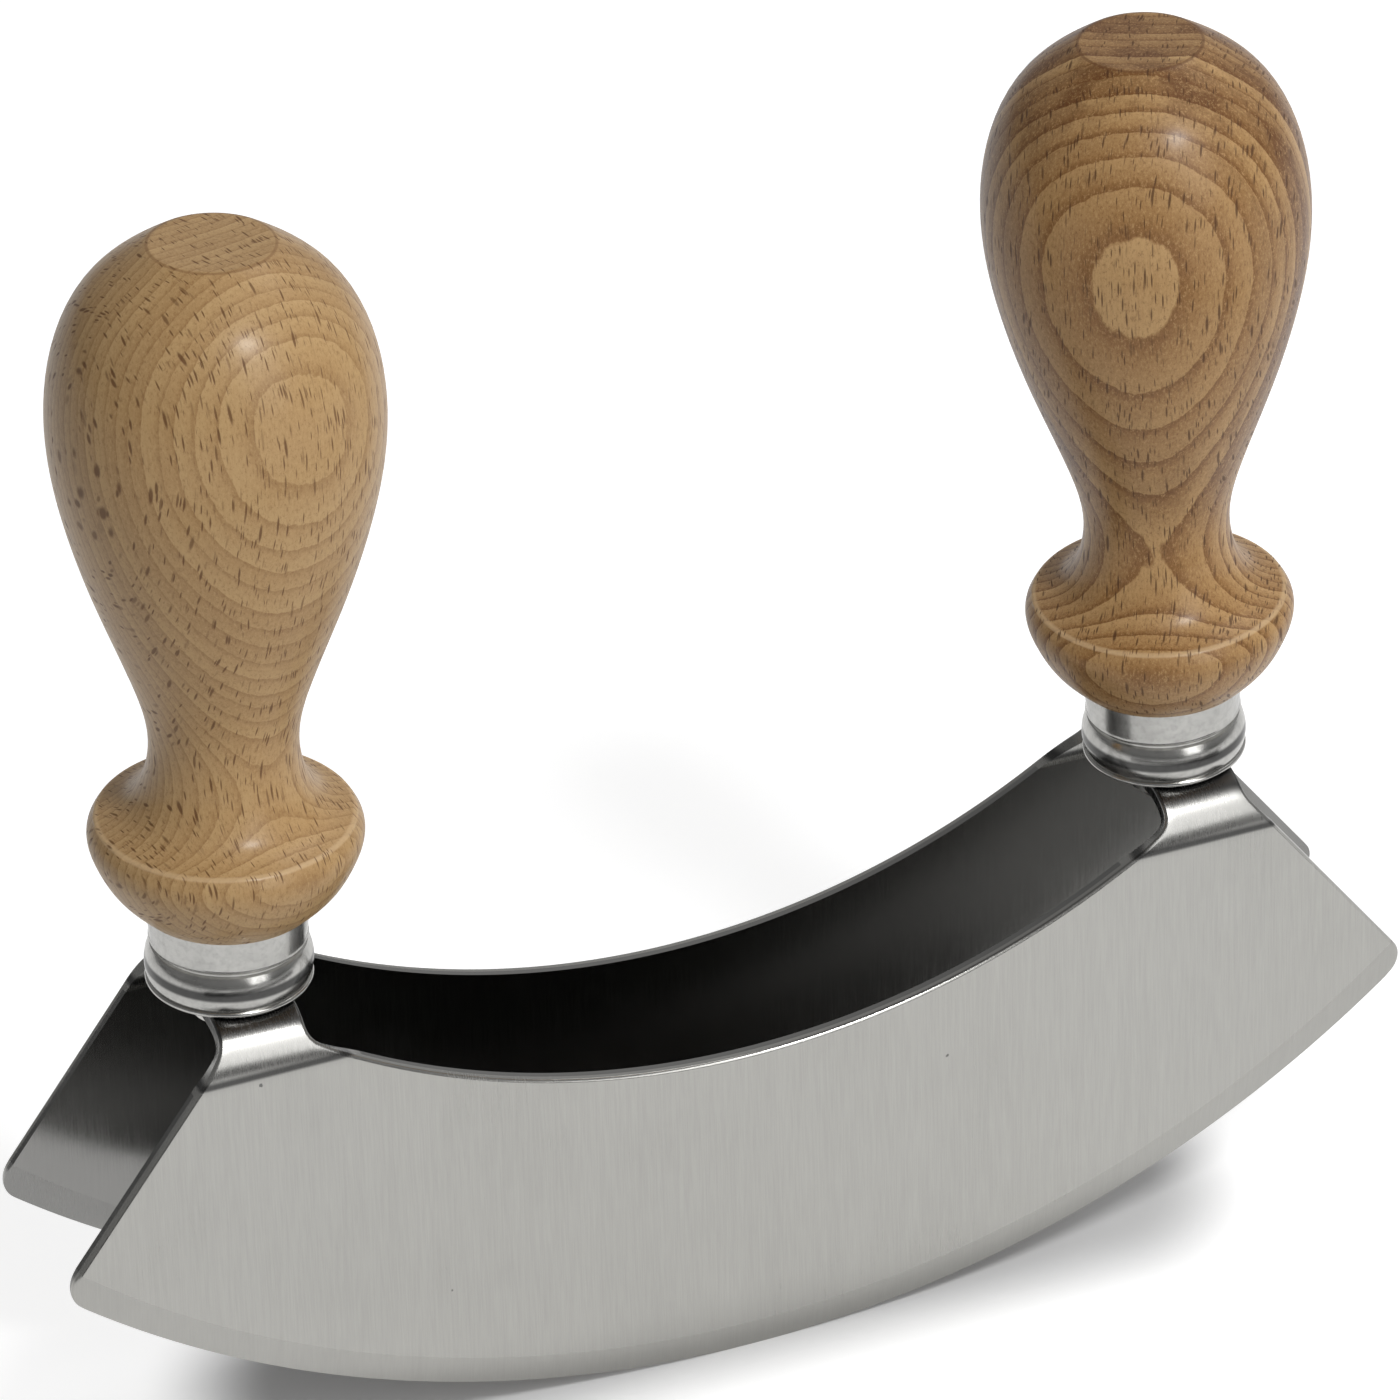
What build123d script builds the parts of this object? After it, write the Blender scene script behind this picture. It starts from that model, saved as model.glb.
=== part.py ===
from build123d import *
import math
import os

# Mezzaluna with two parallel crescent blades and two turned beech handles.
# X runs along the blades, Y across them, Z up. The origin lies under the middle,
# at the level of the lowest points of the two cutting edges. All lengths are millimetres.

# Folded sheet
sheet_thickness = 1.8
blade_length = 180.0
cutting_radius = 138.0
blade_depth = 44.0
lip_end_drop = 3.2
blade_spread = 27.4
strap_height = 64.8
strap_width = 10.8
fold_radius = 6.7
waist_drop = 1.8
tip_radius = 3.4
waist_radius = 3.5
lip_corner_radius = 2.6
rolled_edge_radius = 0.5
bevel_height = 4.0
edge_land = 0.25

# Handle places
handle_inset = 27.9
handle_lean = 2.0

# Ferrule
ferrule_height = 11.0
ferrule_wall = 0.7
ferrule_floor = 1.0
band_top_radius = 9.9
band_foot_radius = 9.55
bead_radius = 10.25
bead_height = 5.2
bead_widest_height = 2.4
foot_ring_height = 0.7
foot_ring_radius = 10.2
bead_foot_radius = 9.9
step_height = 0.8

# Turned handle
handle_height = 88.4
bulb_radius = 19.9
bulb_widest_height = 67.7
crown_flat_radius = 7.5
neck_radius = 9.0
neck_height = 22.7
collar_radius = 16.5
collar_widest_height = 10.4
ridge_radius = 15.7
ridge_height = 11.9
collar_foot_radius = 11.0
spigot_clearance = 0.1
spigot_chamfer = 0.8

# Screw and washer
screw_diameter = 5.0
screw_length = 42.0
screw_point_length = 6.0
screw_head_diameter = 9.6
screw_head_height = 3.2
screw_head_crown_radius = 1.6
screw_recess_width = 1.3
screw_recess_span = 5.0
screw_recess_depth = 1.7
screw_clearance = 0.25
thread_clearance = 0.05
pilot_end_gap = 2.0
washer_diameter = 10.6
washer_thickness = 1.0

# One overrun for every cut
overrun = 5.0

# Belly of the handle between neck and widest place, as shares of the rise and of the swell
belly_rise_shares = (0.19, 0.43, 0.69)
belly_swell_shares = (0.18, 0.542, 0.86)
# Middle of the crown curve, as a share of the way from the flat out to the widest place
crown_middle_share = 0.6
# Concave flare from the collar ridge up to the neck
flare_rise_shares = (0.14, 0.37, 0.64)
flare_swell_shares = (0.5, 0.2, 0.05)
# Bowl under the collar, from its foot to its widest place
bowl_rise_shares = (0.32, 0.63)
bowl_swell_shares = (0.56, 0.88)

# Derived places
half_length = blade_length / 2
half_spread = blade_spread / 2
cutting_centre_height = cutting_radius
tip_height = cutting_radius - math.sqrt(cutting_radius**2 - half_length**2)
handle_place = half_length - handle_inset
strap_inner = handle_place - strap_width / 2
strap_outer = handle_place + strap_width / 2
lip_end_height = strap_height - lip_end_drop
waist_height = strap_height - waist_drop
grind_depth = (sheet_thickness - edge_land) / 2


def corners_at(outline: BuildSketch, height: float) -> ShapeList:
    """The outline's left and right corner at one height."""
    return outline.vertices().filter_by(lambda corner: abs(corner.Y - height) < edge_land)


def crescent_outline() -> Sketch:
    """Front outline of a crescent with both horns, seen along Y."""
    top = strap_height + overrun
    with BuildSketch(Plane.XZ) as outline:
        with BuildLine():
            ThreePointArc((-half_length, tip_height), (0, 0), (half_length, tip_height))
            Polyline(
                (half_length, tip_height),
                (strap_outer, waist_height),
                (strap_outer, top),
                (strap_inner, top),
                (strap_inner, lip_end_height),
            )
            ThreePointArc((strap_inner, lip_end_height), (0, blade_depth), (-strap_inner, lip_end_height))
            Polyline(
                (-strap_inner, lip_end_height),
                (-strap_inner, top),
                (-strap_outer, top),
                (-strap_outer, waist_height),
                (-half_length, tip_height),
            )
        make_face()
        fillet(corners_at(outline, tip_height), tip_radius)
        fillet(corners_at(outline, waist_height), waist_radius)
        fillet(corners_at(outline, lip_end_height), lip_corner_radius)
    return outline.sketch


def seat(side: int) -> Location:
    """Middle of a strap's upper face, leaning inwards with its handle. side is -1 left, 1 right."""
    return Location((side * handle_place, 0, strap_height), (0, -side * handle_lean, 0))


def folded_channel(side: int) -> Part:
    """Sheet folded to an upside-down U along one horn, in the strap's own lean."""
    reach = strap_height + overrun
    inner_radius = fold_radius - sheet_thickness
    with BuildSketch(Plane.YZ) as section:
        with Locations((0, -reach / 2)):
            Rectangle(blade_spread, reach)
        fillet(section.vertices().group_by(Axis.Y)[-1], fold_radius)
        with BuildSketch(Plane.YZ, mode=Mode.SUBTRACT) as hollow:
            with Locations((0, -sheet_thickness - reach / 2)):
                Rectangle(blade_spread - 2 * sheet_thickness, reach)
            fillet(hollow.vertices().group_by(Axis.Y)[-1], inner_radius)
    channel = extrude(section.sketch, amount=blade_length, both=True)
    channel = channel.moved(seat(side))
    half_space = Box(
        blade_length,
        blade_spread + overrun,
        2 * reach,
        align=(Align.MIN if side > 0 else Align.MAX, Align.CENTER, Align.CENTER),
    )
    return channel & half_space


def grinding_ring(face_place: float, inward: int) -> Part:
    """Ring cut away on one face of a blade, deepest at the cutting arc."""
    reach = cutting_radius + overrun
    depth = inward * grind_depth * (bevel_height + overrun) / bevel_height
    radial = Plane(origin=(0, 0, cutting_centre_height), x_dir=(0, 0, -1), z_dir=(1, 0, 0))
    with BuildSketch(radial) as wedge:
        Polygon(
            (cutting_radius - bevel_height, face_place),
            (reach, face_place - inward * overrun),
            (reach, face_place + depth),
            align=None,
        )
    return revolve(wedge.sketch, axis=Axis((0, 0, cutting_centre_height), (0, 1, 0)))


def strap_hole(side: int) -> Part:
    """Hole through a strap for the handle screw."""
    hole = Cylinder(screw_diameter / 2 + screw_clearance, 2 * overrun)
    return hole.moved(seat(side))


def folded_sheet() -> Part:
    """One sheet with a crescent on each side and a strap over each end, its outer rim rolled over.

    The rim is one smooth line round both cutting arcs and one round both lips, each over both straps,
    so rolling the four longest arcs rolls it all.
    """
    prism = extrude(crescent_outline(), amount=half_spread + overrun, both=True)
    sheet = (folded_channel(-1) & prism) + (folded_channel(1) & prism)
    flats = sheet.faces().filter_by(Axis.Y).sort_by(Axis.Y)
    arcs = (flats[0].edges() + flats[-1].edges()).filter_by(GeomType.CIRCLE).sort_by(SortBy.LENGTH)
    return fillet(arcs[-4:], rolled_edge_radius)


def twin_blade() -> Part:
    blade = folded_sheet()
    for face_side in (-1, 1):
        outer = face_side * half_spread
        inner = face_side * (half_spread - sheet_thickness)
        blade -= grinding_ring(outer, -face_side)
        blade -= grinding_ring(inner, face_side)
    for side in (-1, 1):
        blade -= strap_hole(side)
    return blade


def ferrule() -> Part:
    """Drawn and rolled collar: foot ring, bead, step and plain band, open at the top."""
    inner_radius = band_foot_radius - ferrule_wall
    band_foot = bead_height + step_height
    hole_radius = screw_diameter / 2 + screw_clearance
    with BuildSketch(Plane.XZ) as section:
        with BuildLine():
            Polyline(
                (hole_radius, ferrule_floor),
                (hole_radius, 0),
                (bead_foot_radius, 0),
            )
            ThreePointArc(
                (bead_foot_radius, 0),
                (foot_ring_radius, foot_ring_height / 2),
                (bead_foot_radius, foot_ring_height),
            )
            ThreePointArc(
                (bead_foot_radius, foot_ring_height),
                (bead_radius, bead_widest_height),
                (band_foot_radius, bead_height),
            )
            Polyline(
                (band_foot_radius, bead_height),
                (band_foot_radius + step_height / 4, bead_height + step_height / 2),
                (band_foot_radius, band_foot),
                (band_top_radius, ferrule_height),
                (inner_radius, ferrule_height),
                (inner_radius, ferrule_floor),
                (hole_radius, ferrule_floor),
            )
        make_face()
    return revolve(section.sketch, axis=Axis.Z)


def between(start: float, end: float, share: float) -> float:
    return start + (end - start) * share


def handle_profile() -> Sketch:
    """Half section of the turned handle, from the spigot inside the ferrule up to the crown."""
    spigot_radius = band_foot_radius - ferrule_wall - spigot_clearance
    spigot_foot = ferrule_floor + spigot_clearance
    bore_radius = screw_diameter / 2 + thread_clearance
    bore_end = screw_length + pilot_end_gap
    cone_foot = bore_end - screw_point_length
    foot = ferrule_height
    crown_height = foot + handle_height
    bulb_height = foot + bulb_widest_height
    crown_axis = (handle_height - bulb_widest_height) / math.sqrt(1 - (crown_flat_radius / bulb_radius) ** 2)
    crown_middle_radius = between(crown_flat_radius, bulb_radius, crown_middle_share)
    crown_middle_rise = crown_axis * math.sqrt(1 - (crown_middle_radius / bulb_radius) ** 2)
    bowl = [
        (between(collar_foot_radius, collar_radius, swell), foot + collar_widest_height * rise)
        for rise, swell in zip(bowl_rise_shares, bowl_swell_shares)
    ]
    flare = [
        (between(neck_radius, ridge_radius, swell), foot + between(ridge_height, neck_height, rise))
        for rise, swell in zip(flare_rise_shares, flare_swell_shares)
    ]
    belly = [
        (between(neck_radius, bulb_radius, swell), foot + between(neck_height, bulb_widest_height, rise))
        for rise, swell in zip(belly_rise_shares, belly_swell_shares)
    ]
    with BuildSketch(Plane.XZ) as section:
        with BuildLine():
            Polyline(
                (0, crown_height),
                (0, bore_end),
                (bore_radius, cone_foot),
                (bore_radius, spigot_foot),
                (spigot_radius - spigot_chamfer, spigot_foot),
                (spigot_radius, spigot_foot + spigot_chamfer),
                (spigot_radius, foot),
                (collar_foot_radius, foot),
            )
            Spline(
                (collar_foot_radius, foot),
                *bowl,
                (collar_radius, foot + collar_widest_height),
                (ridge_radius, foot + ridge_height),
            )
            Spline(
                (ridge_radius, foot + ridge_height),
                *flare,
                (neck_radius, foot + neck_height),
                *belly,
                (bulb_radius, bulb_height),
                (crown_middle_radius, bulb_height + crown_middle_rise),
                (crown_flat_radius, crown_height),
            )
            Line((crown_flat_radius, crown_height), (0, crown_height))
        make_face()
    return section.sketch


def handle() -> Part:
    return revolve(handle_profile(), axis=Axis.Z)


def washer() -> Part:
    """Flat washer against the underside of the strap."""
    top = -sheet_thickness
    with BuildSketch(Plane.XY.offset(top - washer_thickness)) as ring:
        Circle(washer_diameter / 2)
        Circle(screw_diameter / 2 + screw_clearance, mode=Mode.SUBTRACT)
    return extrude(ring.sketch, amount=washer_thickness)


def screw() -> Part:
    """Pan head wood screw, driven upwards through washer, strap and ferrule into the handle."""
    head_top = -sheet_thickness - washer_thickness
    head_foot = head_top - screw_head_height
    shank_radius = screw_diameter / 2
    head_radius = screw_head_diameter / 2
    with BuildSketch(Plane.XZ) as section:
        with BuildLine():
            Polyline(
                (0, head_foot),
                (0, screw_length),
                (shank_radius, screw_length - screw_point_length),
                (shank_radius, head_top),
                (head_radius, head_top),
                (head_radius, head_foot + screw_head_crown_radius),
            )
            RadiusArc(
                (head_radius, head_foot + screw_head_crown_radius),
                (head_radius - screw_head_crown_radius, head_foot),
                -screw_head_crown_radius,
            )
            Line((head_radius - screw_head_crown_radius, head_foot), (0, head_foot))
        make_face()
    body = revolve(section.sketch, axis=Axis.Z)
    blade = Box(
        screw_recess_span,
        screw_recess_width,
        screw_recess_depth,
        align=(Align.CENTER, Align.CENTER, Align.MIN),
    ).moved(Location((0, 0, head_foot)))
    return body - blade - blade.rotate(Axis.Z, 90)


def pair(piece: Part) -> Compound:
    """The same piece at the left and at the right strap."""
    return Compound(children=[piece.moved(seat(side)) for side in (-1, 1)])


nodes = {
    "twin_blade": twin_blade(),
    "left_ferrule": ferrule().moved(seat(-1)),
    "right_ferrule": ferrule().moved(seat(1)),
    "left_handle": handle().moved(seat(-1)),
    "right_handle": handle().moved(seat(1)),
    "handle_screws": pair(screw()),
    "screw_washers": pair(washer()),
}

os.makedirs("parts", exist_ok=True)
for name, solid in nodes.items():
    export_step(solid, f"parts/{name}.step")
    print(name, [round(size, 2) for size in solid.bounding_box().size], round(solid.volume))
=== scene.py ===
"""Dresses the mezzaluna: one folded sheet with two ground crescents, rolled ferrules, turned beech
handles, and the screws and washers that hold them.

Lengths are written in millimetres and brought to metres by MM. X runs along the blades, Y across, Z up.
"""
import logging
import math
from dataclasses import dataclass, field
from enum import Enum
from typing import Callable, Iterable, Sequence

import bmesh
import bpy
from mathutils import Matrix, Vector


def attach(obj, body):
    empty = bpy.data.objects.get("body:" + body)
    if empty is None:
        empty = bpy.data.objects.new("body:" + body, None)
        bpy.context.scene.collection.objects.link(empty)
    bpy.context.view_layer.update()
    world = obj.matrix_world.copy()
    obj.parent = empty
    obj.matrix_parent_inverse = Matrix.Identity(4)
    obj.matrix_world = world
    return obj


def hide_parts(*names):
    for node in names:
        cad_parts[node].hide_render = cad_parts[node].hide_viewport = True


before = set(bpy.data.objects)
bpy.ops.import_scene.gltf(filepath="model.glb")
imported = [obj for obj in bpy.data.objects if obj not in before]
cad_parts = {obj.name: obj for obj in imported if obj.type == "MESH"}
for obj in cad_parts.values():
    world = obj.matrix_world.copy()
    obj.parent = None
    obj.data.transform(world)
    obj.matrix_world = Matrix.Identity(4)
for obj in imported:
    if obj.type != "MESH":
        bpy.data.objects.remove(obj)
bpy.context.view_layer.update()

log = logging.getLogger("mezzaluna")

MM = 0.001
WELD = 0.000002
EVEN_WEIGHT = 50
NODE_STEP = 180.0
SHADER_COLUMN, OUTPUT_COLUMN = 3200, 3600
FULL_TURN = math.tau

CUTTING_RADIUS = 138.0
BEVEL_HEIGHT = 4.0
SEAT_REACH = 62.1
SEAT_HEIGHT = 64.8
STRAP_HOLE_RADIUS = 2.75
FERRULE_HEIGHT = 11.0
RIDGE_RISE = 11.9
CROWN_RADIUS = 7.5

Pair = tuple[float, float]
Triple = tuple[float, float, float]
Colour = tuple[float, float, float, float]
Mesh = bmesh.types.BMesh
Vert = bmesh.types.BMVert
Edge = bmesh.types.BMEdge
Socket = bpy.types.NodeSocket


class Side(Enum):
    """End of the tool that a handle stands on."""

    LEFT = -1
    RIGHT = 1


# Bench work


def grey(level: float, warmth: float = 0.0) -> Colour:
    """Returns a grey of a level, a little redder and less blue by a warmth."""
    return (level * (1 + warmth / 2), level, level * (1 - warmth * 2), 1.0)


def point(x: float, y: float, z: float) -> Vector:
    """Returns a point given in millimetres."""
    return Vector((x, y, z)) * MM


def new_verts(mesh: Mesh, before: int) -> list[Vert]:
    """Returns the vertices that a mesh has gained since it had `before` of them, in order."""
    mesh.verts.ensure_lookup_table()
    return list(mesh.verts)[before:]


def swept(
    mesh: Mesh,
    start: Vert,
    centre: Vector,
    axis: Vector,
    angle: float,
    steps: int,
) -> list[Vert]:
    """Spins one vertex into an arc.

    Args:
        mesh: the mesh that gets the arc.
        start: the arc's first vertex.
        centre: a point on the axis.
        axis: the direction that the arc turns about.
        angle: the turn, in radians.
        steps: how many chords the arc has.

    Returns:
        The arc's vertices in order, with the first.
    """
    before = len(mesh.verts)
    bmesh.ops.spin(mesh, geom=[start], cent=centre, axis=axis, dvec=Vector(), angle=angle, steps=steps)
    return [start, *new_verts(mesh, before)]


def chain(mesh: Mesh, points: Iterable[Vector]) -> list[Vert]:
    """Draws a line of edges through points.

    Args:
        mesh: the mesh that gets the line.
        points: the line's corners in order.

    Returns:
        The line's vertices in order.
    """
    verts = [mesh.verts.new(place) for place in points]
    for one, two in zip(verts, verts[1:]):
        mesh.edges.new((one, two))
    return verts


def fill(mesh: Mesh, loop: Sequence[Vert]) -> None:
    """Closes a ring of vertices with one face.

    Args:
        mesh: the mesh that holds them.
        loop: the ring's vertices in order.
    """
    edges = []
    for one, two in zip(loop, [*loop[1:], loop[0]]):
        edge = mesh.edges.get((one, two))
        edges.append(edge if edge else mesh.edges.new((one, two)))
    bmesh.ops.edgeloop_fill(mesh, edges=edges)


def everything(mesh: Mesh) -> list[Vert | Edge | bmesh.types.BMFace]:
    """Returns all vertices, edges and faces of a mesh."""
    return [*mesh.verts, *mesh.edges, *mesh.faces]


def face_outwards(mesh: Mesh) -> None:
    """Turns a closed mesh's normals outwards.

    Args:
        mesh: the closed mesh.
    """
    bmesh.ops.recalc_face_normals(mesh, faces=mesh.faces)
    if mesh.calc_volume(signed=True) < 0:
        bmesh.ops.reverse_faces(mesh, faces=mesh.faces)


def soften(mesh: Mesh, edges: list[Edge], width: float, segments: int) -> None:
    """Rounds edges over.

    Args:
        mesh: the mesh that holds them.
        edges: which edges.
        width: how far the rounding reaches to each side, in millimetres.
        segments: how many faces it has across.
    """
    bmesh.ops.bevel(
        mesh,
        geom=edges,
        offset=width * MM,
        offset_type="OFFSET",
        segments=segments,
        profile=0.5,
        affect="EDGES",
        clamp_overlap=True,
        material=-1,
    )


def turned(profile: Sequence[Pair], segments: int) -> Mesh:
    """Turns a closed half section about Z, as on a lathe.

    Args:
        profile: radius and height of each corner in millimetres; ends at radius zero close at a pole.
        segments: how many steps the full turn has.

    Returns:
        The closed mesh, with its faces outwards.
    """
    mesh = bmesh.new()
    verts = chain(mesh, [point(radius, 0, height) for radius, height in profile])
    closed_ring = profile[0][0] > 0 or profile[-1][0] > 0
    if closed_ring:
        mesh.edges.new((verts[-1], verts[0]))
    bmesh.ops.spin(
        mesh,
        geom=everything(mesh),
        cent=Vector(),
        axis=Vector((0, 0, 1)),
        dvec=Vector(),
        angle=FULL_TURN,
        steps=segments,
        use_merge=True,
    )
    bmesh.ops.remove_doubles(mesh, verts=mesh.verts, dist=WELD)
    face_outwards(mesh)
    return mesh


def ring_edges(mesh: Mesh, radius: float, height: float) -> list[Edge]:
    """Finds a circle of a turned mesh.

    Args:
        mesh: the turned mesh.
        radius: the circle's radius in millimetres.
        height: its height in millimetres.

    Returns:
        The circle's edges.
    """
    slack = 0.01
    found = []
    for edge in mesh.edges:
        places = [vert.co / MM for vert in edge.verts]
        if all(abs(p.z - height) < slack and abs(math.hypot(p.x, p.y) - radius) < slack for p in places):
            found.append(edge)
    return found


def smooth_curve(points: Sequence[Pair], steps: int) -> list[Pair]:
    """Draws a natural cubic curve through points, as a flexed spline does.

    Args:
        points: places in the plane that the curve passes through.
        steps: chords between each two of them.

    Returns:
        Points along the curve, with its ends.
    """
    count = len(points)
    knots = [0.0]
    for one, two in zip(points, points[1:]):
        knots.append(knots[-1] + math.dist(one, two))
    curves = []
    for axis in (0, 1):
        values = [p[axis] for p in points]
        lower, diagonal, right = [0.0] * count, [1.0] * count, [0.0] * count
        upper = [0.0] * count
        for i in range(1, count - 1):
            before, after = knots[i] - knots[i - 1], knots[i + 1] - knots[i]
            lower[i], diagonal[i], upper[i] = before, 2 * (before + after), after
            right[i] = 6 * ((values[i + 1] - values[i]) / after - (values[i] - values[i - 1]) / before)
        for i in range(1, count):
            share = lower[i] / diagonal[i - 1]
            diagonal[i] -= share * upper[i - 1]
            right[i] -= share * right[i - 1]
        bends = [0.0] * count
        for i in range(count - 1, -1, -1):
            ahead = upper[i] * bends[i + 1] if i < count - 1 else 0.0
            bends[i] = (right[i] - ahead) / diagonal[i]
        curves.append((values, bends))
    drawn = []
    for i in range(count - 1):
        span = knots[i + 1] - knots[i]
        last = steps + 1 if i == count - 2 else steps
        for step in range(last):
            b = step / steps
            a = 1 - b
            drawn.append(
                tuple(
                    a * v[i]
                    + b * v[i + 1]
                    + ((a**3 - a) * m[i] + (b**3 - b) * m[i + 1]) * span**2 / 6
                    for v, m in curves
                )
            )
    return drawn


def between(start: float, end: float, share: float) -> float:
    """Returns the value at a share of the way from start to end."""
    return start + (end - start) * share


def seat(side: Side, reach: float, height: float, lean: float) -> Matrix:
    """Returns the frame of one strap's upper face, leaning inwards with its handle."""
    turn = Matrix.Rotation(math.radians(-side.value * lean), 4, "Y")
    return Matrix.Translation(point(side.value * reach, 0, height)) @ turn


def mesh_data(name: str, mesh: Mesh) -> bpy.types.Mesh:
    """Turns a bmesh into mesh data and frees it.

    Args:
        name: the data's name.
        mesh: the bmesh, gone afterwards.

    Returns:
        The mesh data.
    """
    data = bpy.data.meshes.new(name)
    mesh.to_mesh(data)
    mesh.free()
    return data


def placed(name: str, data: bpy.types.ID) -> bpy.types.Object:
    """Makes an object of some data and links it to the scene.

    Args:
        name: the object's name.
        data: its mesh, lamp or camera.

    Returns:
        The object.
    """
    item = bpy.data.objects.new(name, data)
    bpy.context.scene.collection.objects.link(item)
    return item


def outward(azimuth: float, elevation: float) -> Vector:
    """Returns the direction from the tool at an azimuth from the front and a height angle, in degrees."""
    around, up = math.radians(azimuth), math.radians(elevation)
    return Vector((math.sin(around) * math.cos(up), -math.cos(around) * math.cos(up), math.sin(up)))


def finished(
    name: str,
    mesh: Mesh,
    material: bpy.types.Material,
    stands_for: Sequence[str],
    crease: float = 35.0,
) -> bpy.types.Object:
    """Makes an object of a mesh, shades it and sets it on the part.

    Args:
        name: the piece's name.
        mesh: its mesh, already in place.
        material: what it is made of.
        stands_for: the CAD nodes that it takes the place of.
        crease: the angle in degrees from which an edge shows as an edge.

    Returns:
        The piece.
    """
    limit = math.radians(crease)
    for face in mesh.faces:
        face.smooth = True
    for edge in mesh.edges:
        if len(edge.link_faces) == 2 and edge.calc_face_angle() > limit:
            edge.smooth = False
    piece = placed(name, mesh_data(name, mesh))
    piece.data.materials.append(material)
    weighted = piece.modifiers.new("even_shading", "WEIGHTED_NORMAL")
    weighted.keep_sharp = True
    weighted.weight = EVEN_WEIGHT
    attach(piece, "root")
    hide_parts(*stands_for)
    log.info("%s: %d faces", name, len(piece.data.polygons))
    return piece


# Material work


@dataclass
class NodeBench:
    """Lays out shader nodes in one tree."""

    tree: bpy.types.NodeTree
    column: float = 0.0

    def add(self, kind: str, **settings: object) -> bpy.types.Node:
        """Adds a node, sets its properties and moves on by a column.

        Args:
            kind: the node's type.
            settings: its properties by name.

        Returns:
            The node.
        """
        node = self.tree.nodes.new(kind)
        node.location = (self.column, 0.0)
        self.column += NODE_STEP
        for name, value in settings.items():
            setattr(node, name, value)
        return node

    def feed(self, socket: Socket, value: object) -> None:
        """Links an output to a socket, or sets the socket to a plain value.

        Args:
            socket: the input that gets it.
            value: the output or the value.
        """
        if isinstance(value, Socket):
            self.tree.links.new(value, socket)
        else:
            socket.default_value = value

    def math(self, operation: str, *values: object) -> Socket:
        """Does a sum on numbers.

        Args:
            operation: Blender's name for the sum.
            values: outputs or plain numbers.

        Returns:
            The result.
        """
        node = self.add("ShaderNodeMath", operation=operation)
        for socket, value in zip(node.inputs, values):
            self.feed(socket, value)
        return node.outputs[0]

    def times(self, one: object, two: object) -> Socket:
        """Multiplies two numbers."""
        return self.math("MULTIPLY", one, two)

    def over(self, one: object, two: object) -> Socket:
        """Divides one number by another."""
        return self.math("DIVIDE", one, two)

    def plus(self, one: object, two: object) -> Socket:
        """Adds two numbers."""
        return self.math("ADD", one, two)

    def minus(self, one: object, two: object) -> Socket:
        """Takes the second number from the first."""
        return self.math("SUBTRACT", one, two)

    def off(self, value: object, middle: object) -> Socket:
        """Returns how far a number lies from a middle, either way."""
        return self.math("ABSOLUTE", self.minus(value, middle))

    def vector(self, operation: str, *values: object) -> Socket:
        """Does a sum on vectors.

        Args:
            operation: Blender's name for the sum.
            values: outputs or plain vectors.

        Returns:
            The result, a vector or a number.
        """
        node = self.add("ShaderNodeVectorMath", operation=operation)
        sockets = [s for s in node.inputs if s.enabled]
        for socket, value in zip(sockets, values):
            self.feed(socket, value)
        is_number = operation in ("DOT_PRODUCT", "LENGTH", "DISTANCE")
        return node.outputs["Value" if is_number else "Vector"]

    def scaled(self, vector: object, factor: object) -> Socket:
        """Multiplies a vector by a number.

        Args:
            vector: the vector.
            factor: the number.

        Returns:
            The scaled vector.
        """
        node = self.add("ShaderNodeVectorMath", operation="SCALE")
        self.feed(node.inputs[0], vector)
        self.feed(node.inputs["Scale"], factor)
        return node.outputs[0]

    def parts(self, vector: object) -> tuple[Socket, ...]:
        """Splits a vector into its three numbers.

        Args:
            vector: the vector.

        Returns:
            Its X, Y and Z.
        """
        node = self.add("ShaderNodeSeparateXYZ")
        self.feed(node.inputs[0], vector)
        return tuple(node.outputs)

    def joined(self, x: object, y: object, z: object) -> Socket:
        """Puts three numbers together as a vector.

        Args:
            x: the first.
            y: the second.
            z: the third.

        Returns:
            The vector.
        """
        node = self.add("ShaderNodeCombineXYZ")
        for socket, value in zip(node.inputs, (x, y, z)):
            self.feed(socket, value)
        return node.outputs[0]

    def noise(
        self, vector: object, scale: object, detail: float = 2.0, rough: float = 0.5, kind: str = "3D"
    ) -> Socket:
        """Makes soft noise from 0 to 1.

        Args:
            vector: the place, or one number for the 1D kind.
            scale: how often it turns over to a unit.
            detail: how many finer layers it has.
            rough: how strong those are.
            kind: its dimensions.

        Returns:
            The noise.
        """
        node = self.add("ShaderNodeTexNoise", noise_dimensions=kind)
        self.feed(node.inputs["W" if kind == "1D" else "Vector"], vector)
        self.feed(node.inputs["Scale"], scale)
        node.inputs["Detail"].default_value = detail
        node.inputs["Roughness"].default_value = rough
        return node.outputs[0]

    def grain(self, vector: object, turns: Triple, detail: float, rough: float = 0.5) -> Socket:
        """Returns soft noise that turns over at its own rate along each axis."""
        return self.noise(self.vector("MULTIPLY", vector, turns), 1.0, detail, rough)

    def spots(self, vector: object, randomness: float = 1.0) -> bpy.types.Node:
        """Makes a cell texture, one cell to a unit.

        Args:
            vector: the place.
            randomness: how far cells stray from a square grid.

        Returns:
            The texture's node.
        """
        node = self.add("ShaderNodeTexVoronoi", feature="F1")
        self.feed(node.inputs["Vector"], vector)
        node.inputs["Scale"].default_value = 1.0
        node.inputs["Randomness"].default_value = randomness
        return node

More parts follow.
